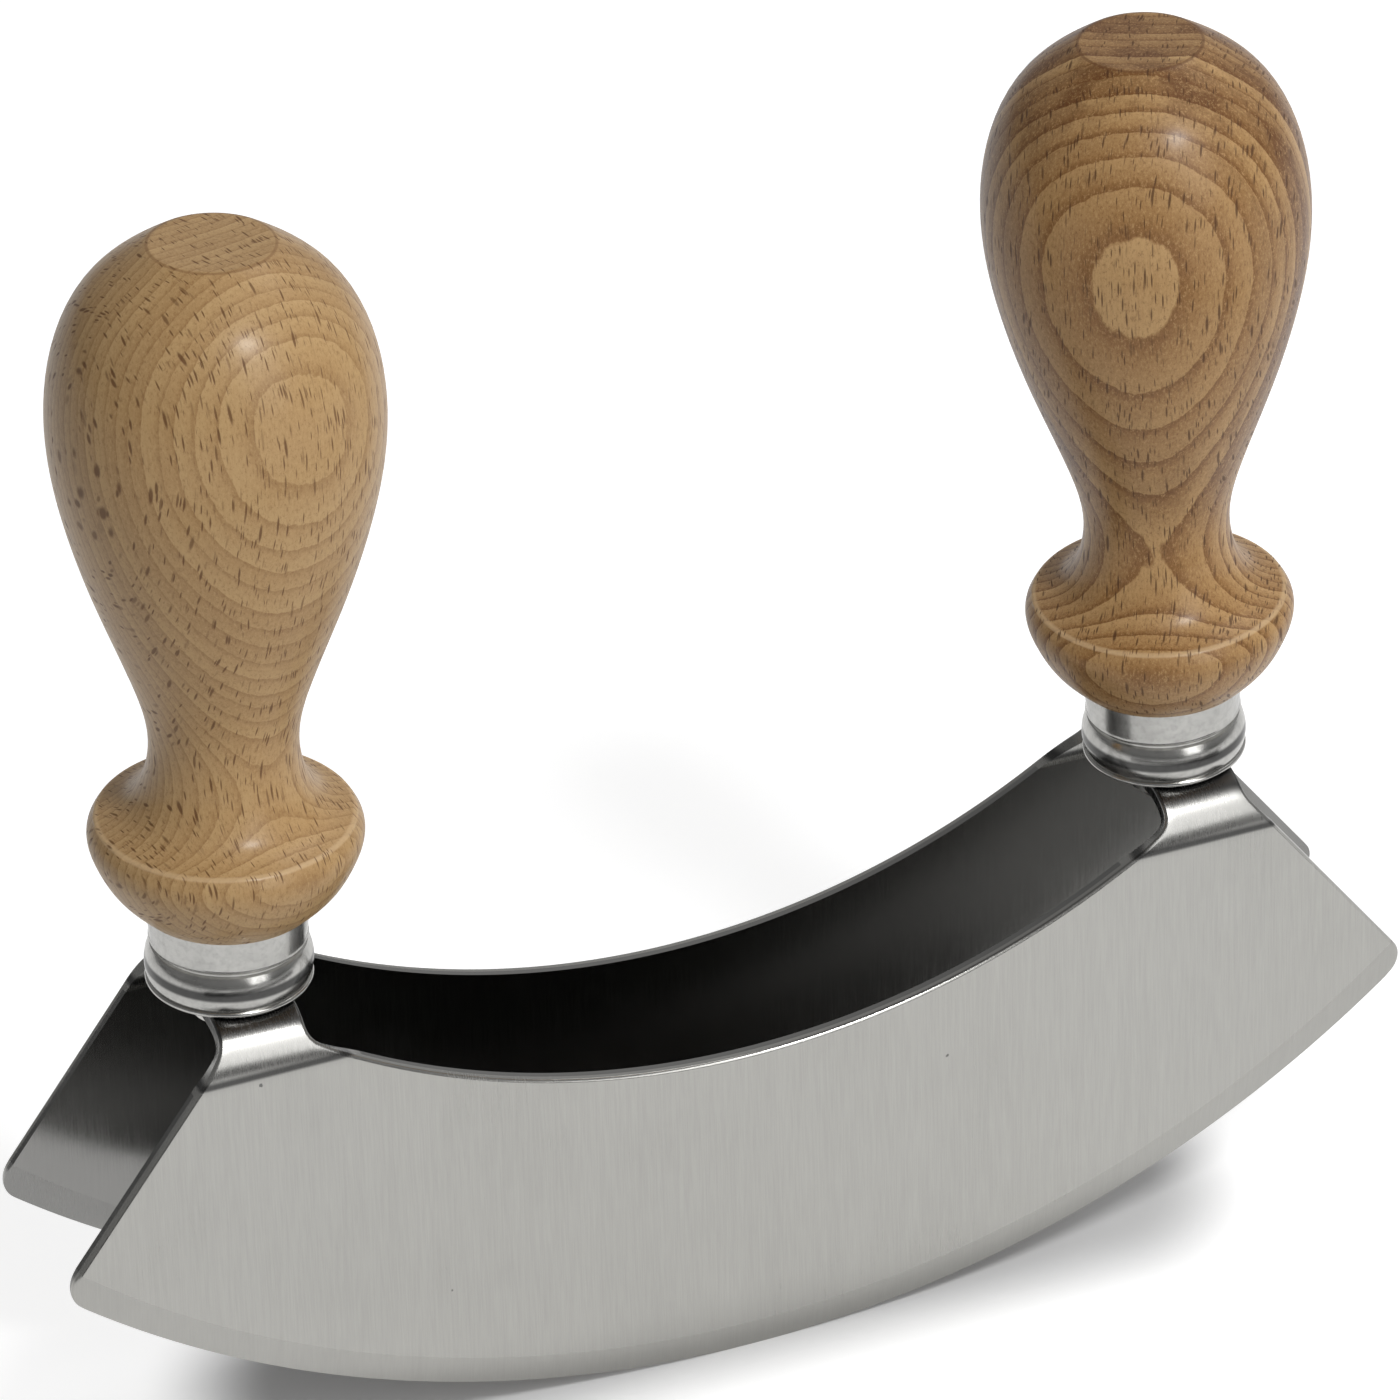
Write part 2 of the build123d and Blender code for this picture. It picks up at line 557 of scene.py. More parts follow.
    def ramp(
        self,
        value: object,
        low: object,
        high: object,
        start: object = 0.0,
        end: object = 1.0,
        smooth: bool = True,
    ) -> Socket:
        """Maps a value from low..high to start..end, held at the ends.

        Args:
            value: what is mapped.
            low: the value that gives start.
            high: the value that gives end.
            start: the first result.
            end: the last result.
            smooth: whether it eases in and out.

        Returns:
            The mapped value.
        """
        easing = "SMOOTHSTEP" if smooth else "LINEAR"
        node = self.add("ShaderNodeMapRange", clamp=True, interpolation_type=easing)
        for socket, item in zip(node.inputs, (value, low, high, start, end)):
            self.feed(socket, item)
        return node.outputs[0]

    def band(self, value: object, start: float, full: float, fading: float, end: float) -> Socket:
        """Returns a soft band: rises from start to full and sinks from fading to end."""
        return self.times(self.ramp(value, start, full), self.ramp(value, end, fading))

    def mixed(self, share: object, one: object, two: object) -> Socket:
        """Mixes two colours by a share.

        Args:
            share: how much of the second, from 0 to 1.
            one: the first colour.
            two: the second colour.

        Returns:
            The mixed colour.
        """
        node = self.add("ShaderNodeMix", data_type="RGBA", clamp_factor=True)
        sockets = [s for s in node.inputs if s.enabled]
        for socket, value in zip(sockets, (share, one, two)):
            self.feed(socket, value)
        return next(s for s in node.outputs if s.enabled)

    def bump(self, height: object, distance: float, strength: float) -> Socket:
        """Turns a height into a shading normal.

        Args:
            height: the height from 0 to 1.
            distance: its full depth in millimetres.
            strength: how much it shows.

        Returns:
            The normal.
        """
        node = self.add("ShaderNodeBump")
        node.inputs["Strength"].default_value = strength
        node.inputs["Distance"].default_value = distance * MM
        self.feed(node.inputs["Height"], height)
        return node.outputs[0]

    def group(self, tree: bpy.types.NodeTree, **values: object) -> bpy.types.Node:
        """Places a node group, with its inputs by name.

        Args:
            tree: the group.
            values: its inputs, with underscores for blanks.

        Returns:
            The group's node.
        """
        node = self.add("ShaderNodeGroup")
        node.node_tree = tree
        for name, value in values.items():
            self.feed(node.inputs[name.replace("_", " ")], value)
        return node


def new_group(
    name: str, inputs: Sequence[tuple[str, str, object]], outputs: Sequence[tuple[str, str]]
) -> tuple[NodeBench, bpy.types.Node, bpy.types.Node]:
    """Starts a shader node group.

    Args:
        name: the group's name.
        inputs: name, kind and starting value of each input.
        outputs: name and kind of each output.

    Returns:
        The bench to lay its nodes on, its input node and its output node.
    """
    kinds = {"number": "NodeSocketFloat", "vector": "NodeSocketVector", "colour": "NodeSocketColor"}
    tree = bpy.data.node_groups.new(name, "ShaderNodeTree")
    for title, kind, value in inputs:
        socket = tree.interface.new_socket(title, in_out="INPUT", socket_type=kinds[kind])
        if value is not None:
            socket.default_value = value
    for title, kind in outputs:
        tree.interface.new_socket(title, in_out="OUTPUT", socket_type=kinds[kind])
    bench = NodeBench(tree)
    return bench, bench.add("NodeGroupInput"), bench.add("NodeGroupOutput")


def new_material(name: str) -> tuple[bpy.types.Material, NodeBench, bpy.types.Node, Socket]:
    """Starts a material.

    Args:
        name: the material's name.

    Returns:
        The material, its bench, its surface shader and its object coordinates.
    """
    material = bpy.data.materials.new(name)
    material.use_nodes = True
    bench = NodeBench(material.node_tree)
    shader = material.node_tree.nodes["Principled BSDF"]
    shader.location = (SHADER_COLUMN, 0)
    material.node_tree.nodes["Material Output"].location = (OUTPUT_COLUMN, 0)
    places = bench.add("ShaderNodeTexCoord").outputs["Object"]
    return material, bench, shader, places


def board_group() -> bpy.types.NodeTree:
    """Places a point in the board that a handle was cut from: across, through the rings, along the grain.

    Returns:
        The node group.
    """
    bench, given, result = new_group(
        "board",
        [
            ("Point", "vector", None),
            ("Middle", "vector", None),
            ("Through rings", "vector", (0, 1, 0)),
            ("Along grain", "vector", (0, 0, 1)),
        ],
        [("Board", "vector")],
    )
    offset = bench.scaled(bench.vector("SUBTRACT", given.outputs["Point"], given.outputs["Middle"]), 1 / MM)
    through, along = given.outputs["Through rings"], given.outputs["Along grain"]
    across = bench.vector("CROSS_PRODUCT", through, along)
    x = bench.vector("DOT_PRODUCT", offset, across)
    y = bench.vector("DOT_PRODUCT", offset, through)
    z = bench.vector("DOT_PRODUCT", offset, along)
    bench.feed(result.inputs["Board"], bench.joined(x, y, z))
    return bench.tree


def growth_rings_group() -> bpy.types.NodeTree:
    """Growth rings: each starts pale, darkens outwards to its late wood, and ends there in a crisp step.

    Returns:
        The node group.
    """
    bench, given, result = new_group(
        "growth_rings",
        [
            ("Board", "vector", None),
            ("Ring width", "number", 1.5),
            ("First ring", "number", 0.0),
            ("Trunk radius", "number", 70.0),
            ("Waviness", "number", 1.0),
            ("Seed", "number", 0.0),
        ],
        [("Late wood", "number"), ("Line", "number"), ("Ring tone", "number")],
    )
    slow_reach, quick_reach, uneven_reach = 5.0, 0.34, 1.2
    slow_turns, quick_turns = (0.05, 0.05, 0.022), (0.9, 0.5, 0.28)
    late_curve, line_start, line_full, step_start, tone_step = 1.3, 0.68, 0.95, 0.96, 7.31
    board = given.outputs["Board"]
    shifted = bench.vector("ADD", board, bench.joined(given.outputs["Seed"], 0.0, given.outputs["Seed"]))
    x, y, _ = bench.parts(board)
    swell = bench.over(bench.times(x, x), bench.times(given.outputs["Trunk radius"], 2.0))
    slow = bench.minus(bench.grain(shifted, slow_turns, 2.0), 0.5)
    quick = bench.minus(bench.grain(shifted, quick_turns, 3.0), 0.5)
    wander = bench.plus(
        bench.times(bench.times(slow, slow_reach), given.outputs["Waviness"]), bench.times(quick, quick_reach)
    )
    depth = bench.plus(bench.plus(bench.plus(y, swell), wander), given.outputs["First ring"])
    uneven = bench.times(bench.minus(bench.noise(depth, 0.23, 1.0, kind="1D"), 0.5), uneven_reach)
    rings = bench.over(bench.plus(depth, uneven), given.outputs["Ring width"])
    part = bench.math("FRACT", rings)
    number = bench.math("FLOOR", rings)
    late = bench.times(bench.math("POWER", part, late_curve), bench.ramp(part, step_start, 1.0, 1.0, 0.0))
    line = bench.ramp(part, line_start, line_full)
    line = bench.times(line, bench.ramp(part, step_start, 1.0, 1.0, 0.0))
    tone = bench.noise(bench.times(number, tone_step), 1.0, 0.0, kind="1D")
    bench.feed(result.inputs["Late wood"], late)
    bench.feed(result.inputs["Line"], line)
    bench.feed(result.inputs["Ring tone"], tone)
    return bench.tree


def ray_flecks_group() -> bpy.types.NodeTree:
    """Rays of beech: thin dark spindles on the face, and long threads across the end grain.

    Returns:
        The node group.
    """
    bench, given, result = new_group(
        "ray_flecks",
        [
            ("Board", "vector", None),
            ("Width", "number", 0.48),
            ("Length", "number", 4.3),
            ("Seed", "number", 0.0),
        ],
        [("Fleck", "number")],
    )
    layers = ((1.0, 1.0), (0.83, 0.9), (1.37, 1.25))
    bend_reach, thickness, layer_shift, stray, core = 2.5, 2.6, 13.7, 0.8, 0.45
    board = given.outputs["Board"]
    bend = bench.grain(board, (0.12, 0.12, 0.05), 1.0)
    x, y, z = bench.parts(board)
    x = bench.plus(x, bench.times(bend, bend_reach))
    masks = []
    for layer, (size, reach) in enumerate(layers):
        shift = bench.plus(given.outputs["Seed"], layer_shift * layer)
        cell = bench.joined(
            bench.plus(bench.over(x, bench.times(given.outputs["Width"], size)), shift),
            bench.plus(bench.over(y, thickness * reach), shift),
            bench.plus(bench.over(z, bench.times(given.outputs["Length"], reach)), shift),
        )
        found = bench.spots(cell, stray)
        r, g, _ = bench.parts(found.outputs["Color"])
        size_here = bench.ramp(r, 0.0, 1.0, 0.16, 0.34, smooth=False)
        inner = bench.times(size_here, core)
        mask = bench.ramp(found.outputs["Distance"], inner, size_here, 1.0, 0.0)
        masks.append(bench.times(mask, bench.ramp(g, 0.05, 0.55, 0.0, 1.0, smooth=False)))
    both = bench.math("MAXIMUM", bench.math("MAXIMUM", masks[0], masks[1]), masks[2])
    bench.feed(result.inputs["Fleck"], both)
    return bench.tree


def brushed_lines_group() -> bpy.types.NodeTree:
    """Fine parallel scratches along one direction, in two sizes.

    Returns:
        The node group.
    """
    bench, given, result = new_group(
        "brushed_lines",
        [("Point", "vector", None), ("Pitch", "number", 0.25), ("Run", "number", 14.0)],
        [("Lines", "number"), ("Streaks", "number")],
    )
    streak_width, streak_run = 9.0, 0.35
    x, y, z = bench.parts(bench.scaled(given.outputs["Point"], 1 / MM))
    run = bench.over(z, given.outputs["Run"])
    pitch = given.outputs["Pitch"]
    fine = bench.noise(bench.joined(bench.over(x, pitch), y, run), 1.0, 3.0, 0.65)
    wide = bench.joined(bench.over(x, bench.times(pitch, streak_width)), y, bench.times(run, streak_run))
    streak = bench.noise(wide, 1.0, 2.0, 0.5)
    bench.feed(result.inputs["Lines"], fine)
    bench.feed(result.inputs["Streaks"], streak)
    return bench.tree


def handling_group() -> bpy.types.NodeTree:
    """Marks of handling: soft smudges, and a few tiny pits and specks.

    Returns:
        The node group.
    """
    bench, given, result = new_group(
        "handling",
        [
            ("Point", "vector", None),
            ("Smudge size", "number", 18.0),
            ("Pit spacing", "number", 9.0),
            ("Pits", "number", 0.06),
        ],
        [("Smudge", "number"), ("Pit", "number")],
    )
    pitted = 0.45
    place = bench.scaled(given.outputs["Point"], 1 / MM)
    smudge_size = bench.joined(*[given.outputs["Smudge size"]] * 3)
    cloud = bench.noise(bench.vector("DIVIDE", place, smudge_size), 1.0, 4.0, 0.6)
    smudge = bench.ramp(cloud, 0.42, 0.72)
    jitter = bench.noise(place, 2.6, 2.0)
    found = bench.spots(bench.vector("DIVIDE", place, bench.joined(*[given.outputs["Pit spacing"]] * 3)))
    r, g, _ = bench.parts(found.outputs["Color"])
    size = bench.times(bench.times(r, jitter), given.outputs["Pits"])
    pit = bench.math("LESS_THAN", found.outputs["Distance"], size)
    bench.feed(result.inputs["Smudge"], smudge)
    bench.feed(result.inputs["Pit"], bench.times(pit, bench.math("GREATER_THAN", g, pitted)))
    return bench.tree


@dataclass(frozen=True)
class NodeKit:
    """Node groups that several finishes share."""

    board: bpy.types.NodeTree = field(default_factory=board_group)
    growth_rings: bpy.types.NodeTree = field(default_factory=growth_rings_group)
    ray_flecks: bpy.types.NodeTree = field(default_factory=ray_flecks_group)
    brushed_lines: bpy.types.NodeTree = field(default_factory=brushed_lines_group)
    handling: bpy.types.NodeTree = field(default_factory=handling_group)


@dataclass(frozen=True)
class Beech:
    """Varnished beech, cut so that the growth rings lie square to one direction."""

    name: str
    middle: Triple
    through_rings: Triple
    along_grain: Triple
    pale: Colour
    tan: Colour
    brown: Colour
    fleck: Colour
    ring_width: float
    first_ring: float
    waviness: float
    contrast: float
    seed: float
    heart_streaks: float
    heart_depth: float = 14.0
    ridge_height: float = FERRULE_HEIGHT + RIDGE_RISE
    crown_circle: float = CROWN_RADIUS
    # Painted highlight colour along the collar's ridge.
    painted_ridge_highlight: Colour = (0.66, 0.47, 0.27, 1.0)
    fibre_turns: Triple = (3.2, 2.6, 0.16)
    stipple_turns: Triple = (3.0, 3.0, 1.5)
    cloud_turns: Triple = (0.16, 0.3, 0.03)
    line_strength: float = 0.55
    tone_strength: float = 0.5
    fleck_strength: float = 0.82
    heart_fade: Pair = (1.5, -4.0)
    streak_fade: Pair = (-46.0, -30.0)
    collar_reach: Pair = (15.0, 15.4)
    crown_start: Pair = (90.0, 92.0)
    gloss: float = 0.2
    varnish: float = 0.2
    varnish_roughness: float = 0.22
    pore_depth: float = 0.035

    def material(self, kit: NodeKit, place: Matrix) -> bpy.types.Material:
        """Builds the varnished wood.

        Args:
            kit: the shared node groups.
            place: the frame of the strap that the handle stands on.

        Returns:
            The material.
        """
        material, bench, shader, places = new_material(self.name)
        through = Vector(self.through_rings).normalized()
        along = Vector(self.along_grain)
        along = (along - through * along.dot(through)).normalized()
        board = bench.group(
            kit.board,
            Point=places,
            Middle=tuple(point(*self.middle)),
            Through_rings=tuple(through),
            Along_grain=tuple(along),
        ).outputs["Board"]
        rings = bench.group(
            kit.growth_rings,
            Board=board,
            Ring_width=self.ring_width,
            First_ring=self.first_ring,
            Waviness=self.waviness,
            Seed=self.seed,
        )
        flecks = bench.group(kit.ray_flecks, Board=board, Seed=self.seed)
        _, depth, z = bench.parts(board)
        fibre = bench.grain(board, self.fibre_turns, 4.0, 0.6)
        stipple = bench.grain(board, self.stipple_turns, 4.0, 0.85)
        cloud = bench.grain(board, self.cloud_turns, 4.0, 0.6)
        late = bench.times(rings.outputs["Late wood"], self.contrast)
        colour = bench.mixed(late, self.pale, self.tan)
        line = bench.times(rings.outputs["Line"], self.contrast * self.line_strength)
        colour = bench.mixed(line, colour, self.brown)
        tone = bench.ramp(rings.outputs["Ring tone"], 0.3, 0.75)
        tone = bench.times(tone, self.contrast * self.tone_strength)
        colour = bench.mixed(tone, colour, self.tan)
        heart = bench.ramp(depth, *(self.heart_depth + step for step in self.heart_fade))
        ring_dark = bench.ramp(rings.outputs["Ring tone"], 0.42, 0.58)
        streak = bench.plus(bench.times(ring_dark, 0.5), bench.ramp(cloud, 0.44, 0.62, 0.0, 0.5))
        streak = bench.times(streak, bench.ramp(z, *self.streak_fade, 0.0, self.heart_streaks))
        colour = bench.mixed(bench.times(heart, streak), colour, self.brown)
        colour = bench.mixed(bench.ramp(fibre, 0.35, 0.75, 0.0, 0.3), colour, self.tan)
        colour = bench.mixed(bench.ramp(stipple, 0.52, 0.64, 0.0, 0.6), colour, self.pale)
        colour = bench.mixed(bench.ramp(stipple, 0.48, 0.34, 0.0, 0.5), colour, self.brown)
        colour = self.ridge_highlight_and_crown_circle(bench, places, place, colour)
        dark = bench.times(flecks.outputs["Fleck"], self.fleck_strength)
        colour = bench.mixed(dark, colour, self.fleck)
        bench.feed(shader.inputs["Base Color"], colour)
        rough = bench.ramp(flecks.outputs["Fleck"], 0.0, 1.0, 0.42, 0.6)
        bench.feed(shader.inputs["Roughness"], rough)
        relief = bench.minus(bench.times(stipple, 0.5), flecks.outputs["Fleck"])
        bench.feed(shader.inputs["Normal"], bench.bump(relief, self.pore_depth, 0.7))
        shader.inputs["Specular IOR Level"].default_value = self.gloss
        shader.inputs["Coat Weight"].default_value = self.varnish
        shader.inputs["Coat Roughness"].default_value = self.varnish_roughness
        return material

    def ridge_highlight_and_crown_circle(self, bench: NodeBench, places: Socket, place: Matrix, colour: Socket) -> Socket:
        """Adds a pale painted highlight along the collar's ridge and a dark circle round the crown's flat.

        Args:
            bench: the material's bench.
            places: the object coordinates.
            place: the frame of the strap that the handle stands on.
            colour: the wood's colour so far.

        Returns:
            The colour with the marks.
        """
        upward = (place.to_3x3() @ Vector((0, 0, 1))).normalized()
        offset = bench.scaled(bench.vector("SUBTRACT", places, tuple(place.translation)), 1 / MM)
        height = bench.vector("DOT_PRODUCT", offset, tuple(upward))
        radius = bench.vector("LENGTH", bench.vector("SUBTRACT", offset, bench.scaled(tuple(upward), height)))
        # Painted highlight: a pale line along the collar's ridge.
        off_ridge = bench.off(height, self.ridge_height)
        ridge = bench.ramp(off_ridge, 0.06, 0.3, 0.6, 0.0)
        ridge = bench.times(ridge, bench.ramp(radius, *self.collar_reach))
        colour = bench.mixed(ridge, colour, self.painted_ridge_highlight)
        off_circle = bench.off(radius, self.crown_circle)
        circle = bench.ramp(off_circle, 0.08, 0.28, 0.55, 0.0)
        circle = bench.times(circle, bench.ramp(height, *self.crown_start))
        return bench.mixed(circle, colour, self.brown)


@dataclass(frozen=True)
class SatinSteel:
    """Stainless sheet, brushed upright, with both edges ground on a belt."""

    name: str = "blade_satin_steel"
    colour: Colour = grey(0.42, 0.025)
    dark: Colour = grey(0.32, 0.025)
    # Painted shade: the inner faces between the blades are darkened towards this grey.
    inside: Colour = grey(0.22, 0.012)
    folded: Colour = grey(0.33, 0.02)
    shaded: Colour = grey(0.04)
    inner_face: float = 12.75
    fold_line: float = 57.5
    cutting_radius: float = CUTTING_RADIUS
    ground_radius: float = CUTTING_RADIUS - BEVEL_HEIGHT
    # Painted shade: a dark reflection line along the fold's foot and darkening of the strap's top under the
    # ferrules, as heights in millimetres.
    painted_fold_foot_line: tuple[float, ...] = (58.0, 58.5, 58.8, 59.5)
    seat_shade: Pair = (62.5, 63.9)
    # Painted light lifts the shade between the blades near the outer ends, low down.
    bright_ends: Pair = (60.0, 72.0)
    bright_foot: Pair = (27.0, 15.0)
    speck: Colour = grey(0.08)
    ground_fade: float = 0.05
    fold_fade: Pair = (-0.4, 1.6)
    fold_strength: float = 0.9
    shade_strength: float = 0.85
    gap_shade_strength: float = 0.85
    end_light: float = 0.8
    brush_depth: float = 0.012

    def material(self, kit: NodeKit) -> bpy.types.Material:
        """Builds the brushed sheet, with painted shade between the blades, along the fold's foot and under
        the ferrules.

        Args:
            kit: the shared node groups.

        Returns:
            The material.
        """
        material, bench, shader, places = new_material(self.name)
        lines = bench.group(kit.brushed_lines, Point=places, Pitch=0.15, Run=7.0)
        marks = bench.group(kit.handling, Point=places)
        x, y, z = bench.parts(bench.scaled(places, 1 / MM))
        radius = bench.vector("LENGTH", bench.joined(x, 0.0, bench.minus(z, self.cutting_radius)))
        fade = self.ground_fade
        ground = bench.ramp(radius, self.ground_radius - fade, self.ground_radius + fade)
        colour = bench.mixed(bench.ramp(lines.outputs["Lines"], 0.3, 0.7, 0.0, 0.3), self.colour, self.dark)
        colour = bench.mixed(bench.ramp(lines.outputs["Streaks"], 0.3, 0.75, 0.0, 0.1), colour, self.dark)
        colour = bench.mixed(bench.times(ground, 0.25), colour, self.dark)
        colour = bench.mixed(bench.times(marks.outputs["Smudge"], 0.12), colour, self.dark)
        # Painted shade: the inner faces between the blades darken towards the inside grey, less so near the
        # outer ends low down.
        between_blades = bench.times(
            bench.math("LESS_THAN", bench.math("ABSOLUTE", y), self.inner_face),
            bench.math("LESS_THAN", z, self.fold_line),
        )
        fold = bench.ramp(z, *(self.fold_line + step for step in self.fold_fade))
        colour = bench.mixed(bench.times(fold, self.fold_strength), colour, self.folded)
        # Painted shade: a dark reflection line along the fold's foot, and darkening of the strap's top under
        # the ferrules.
        foot = bench.band(z, *self.painted_fold_foot_line)
        seat_top = bench.ramp(z, *self.seat_shade)
        shade = bench.times(bench.math("MAXIMUM", foot, seat_top), self.shade_strength)
        colour = bench.mixed(shade, colour, self.shaded)
        outer_end = bench.times(
            bench.ramp(bench.math("ABSOLUTE", x), *self.bright_ends), bench.ramp(z, *self.bright_foot)
        )
        dull_and_gap_shade = bench.times(
            between_blades, bench.minus(self.gap_shade_strength, bench.times(outer_end, self.end_light))
        )
        colour = bench.mixed(dull_and_gap_shade, colour, self.inside)
        colour = bench.mixed(bench.times(marks.outputs["Pit"], 0.75), colour, self.speck)
        bench.feed(shader.inputs["Base Color"], colour)
        rough = bench.plus(bench.ramp(lines.outputs["Lines"], 0.2, 0.8, 0.17, 0.25), bench.times(ground, 0.1))
        rough = bench.minus(rough, bench.times(between_blades, 0.06))
        rough = bench.plus(rough, bench.times(fold, 0.05))
        rough = bench.plus(rough, bench.times(marks.outputs["Smudge"], 0.05))
        bench.feed(shader.inputs["Roughness"], rough)
        bench.feed(shader.inputs["Normal"], bench.bump(lines.outputs["Lines"], self.brush_depth, 0.35))
        shader.inputs["Metallic"].default_value = 1.0
        return material


@dataclass(frozen=True)
class PolishedSteel:
    """Thin drawn steel, buffed bright, with a little handling wear."""

    name: str = "ferrule_bright_steel"
    colour: Colour = grey(0.46, 0.02)
    dark: Colour = grey(0.22, 0.02)
    shaded: Colour = grey(0.04)
    seat_reach: float = SEAT_REACH
    seat_height: float = SEAT_HEIGHT
    lean_slope: float = 0.0349
    # Painted reflection: a dark band round the bead, between these heights above the seat in millimetres.
    bead_shade: tuple[float, ...] = (2.1, 2.6, 3.3, 3.8)
    shade_strength: float = 0.9
    speck: Colour = grey(0.12)
    hoop_turns: Triple = (0.1, 0.1, 7.0)
    hoop_depth: float = 0.01

    def material(self, kit: NodeKit) -> bpy.types.Material:
        """Builds the buffed metal, with a painted dark reflection band round the bead.

        Args:
            kit: the shared node groups.

        Returns:
            The material.
        """
        material, bench, shader, places = new_material(self.name)
        marks = bench.group(kit.handling, Point=places, Smudge_size=5.0, Pit_spacing=3.0, Pits=0.12)
        x, y, z = bench.parts(bench.scaled(places, 1 / MM))
        hoop_places = bench.joined(*(bench.times(*pair) for pair in zip((x, y, z), self.hoop_turns)))
        hoop = bench.noise(hoop_places, 1.0, 3.0, 0.6)
        mottle = bench.noise(bench.scaled(places, 1 / MM), 1.1, 4.0, 0.65)
        colour = bench.mixed(bench.times(marks.outputs["Smudge"], 0.3), self.colour, self.dark)
        colour = bench.mixed(bench.ramp(mottle, 0.42, 0.68, 0.0, 0.22), colour, self.dark)
        # Painted reflection: a dark band round the bead, following the handle's lean.
        lean = bench.times(bench.minus(bench.math("ABSOLUTE", x), self.seat_reach), self.lean_slope)
        height = bench.minus(bench.minus(z, self.seat_height), lean)
        shade = bench.times(bench.band(height, *self.bead_shade), self.shade_strength)
        colour = bench.mixed(shade, colour, self.shaded)
        colour = bench.mixed(bench.times(marks.outputs["Pit"], 0.6), colour, self.speck)
        bench.feed(shader.inputs["Base Color"], colour)
        rough = bench.plus(bench.ramp(hoop, 0.2, 0.8, 0.14, 0.22), bench.ramp(mottle, 0.35, 0.7, 0.0, 0.07))
        bench.feed(shader.inputs["Roughness"], rough)
        bench.feed(shader.inputs["Normal"], bench.bump(hoop, self.hoop_depth, 0.25))
        shader.inputs["Metallic"].default_value = 1.0
        return material


@dataclass(frozen=True)
class ZincSteel:
    """Bright zinc on the screws and washers, slightly mottled."""

    name: str = "screw_zinc"
    colour: Colour = grey(0.6, 0.02)
    dull_and_gap_shade: Colour = grey(0.42, 0.03)
    speck: Colour = grey(0.15)
    grain_depth: float = 0.01

    def material(self, kit: NodeKit) -> bpy.types.Material:
        """Builds the plated metal.

        Args:
            kit: the shared node groups.

        Returns:
            The material.
        """
        material, bench, shader, places = new_material(self.name)
        marks = bench.group(kit.handling, Point=places, Smudge_size=3.0, Pit_spacing=2.0, Pits=0.1)
        grain = bench.noise(bench.scaled(places, 1 / MM), 4.0, 3.0, 0.6)
        colour = bench.mixed(bench.ramp(grain, 0.35, 0.7, 0.0, 0.6), self.colour, self.dull_and_gap_shade)
        colour = bench.mixed(bench.times(marks.outputs["Pit"], 0.6), colour, self.speck)
        bench.feed(shader.inputs["Base Color"], colour)
        bench.feed(shader.inputs["Roughness"], bench.ramp(marks.outputs["Smudge"], 0.0, 1.0, 0.28, 0.42))
        bench.feed(shader.inputs["Normal"], bench.bump(grain, self.grain_depth, 0.2))
        shader.inputs["Metallic"].default_value = 1.0
        return material


# Sub-assemblies


@dataclass
class StrapSeats:
    """Where the two handles stand on the folded sheet."""

    reach: float = SEAT_REACH
    height: float = SEAT_HEIGHT
    lean: float = 2.0

    def frame_of(self, side: Side) -> Matrix:
        """Returns one strap's frame."""
        return seat(side, self.reach, self.height, self.lean)


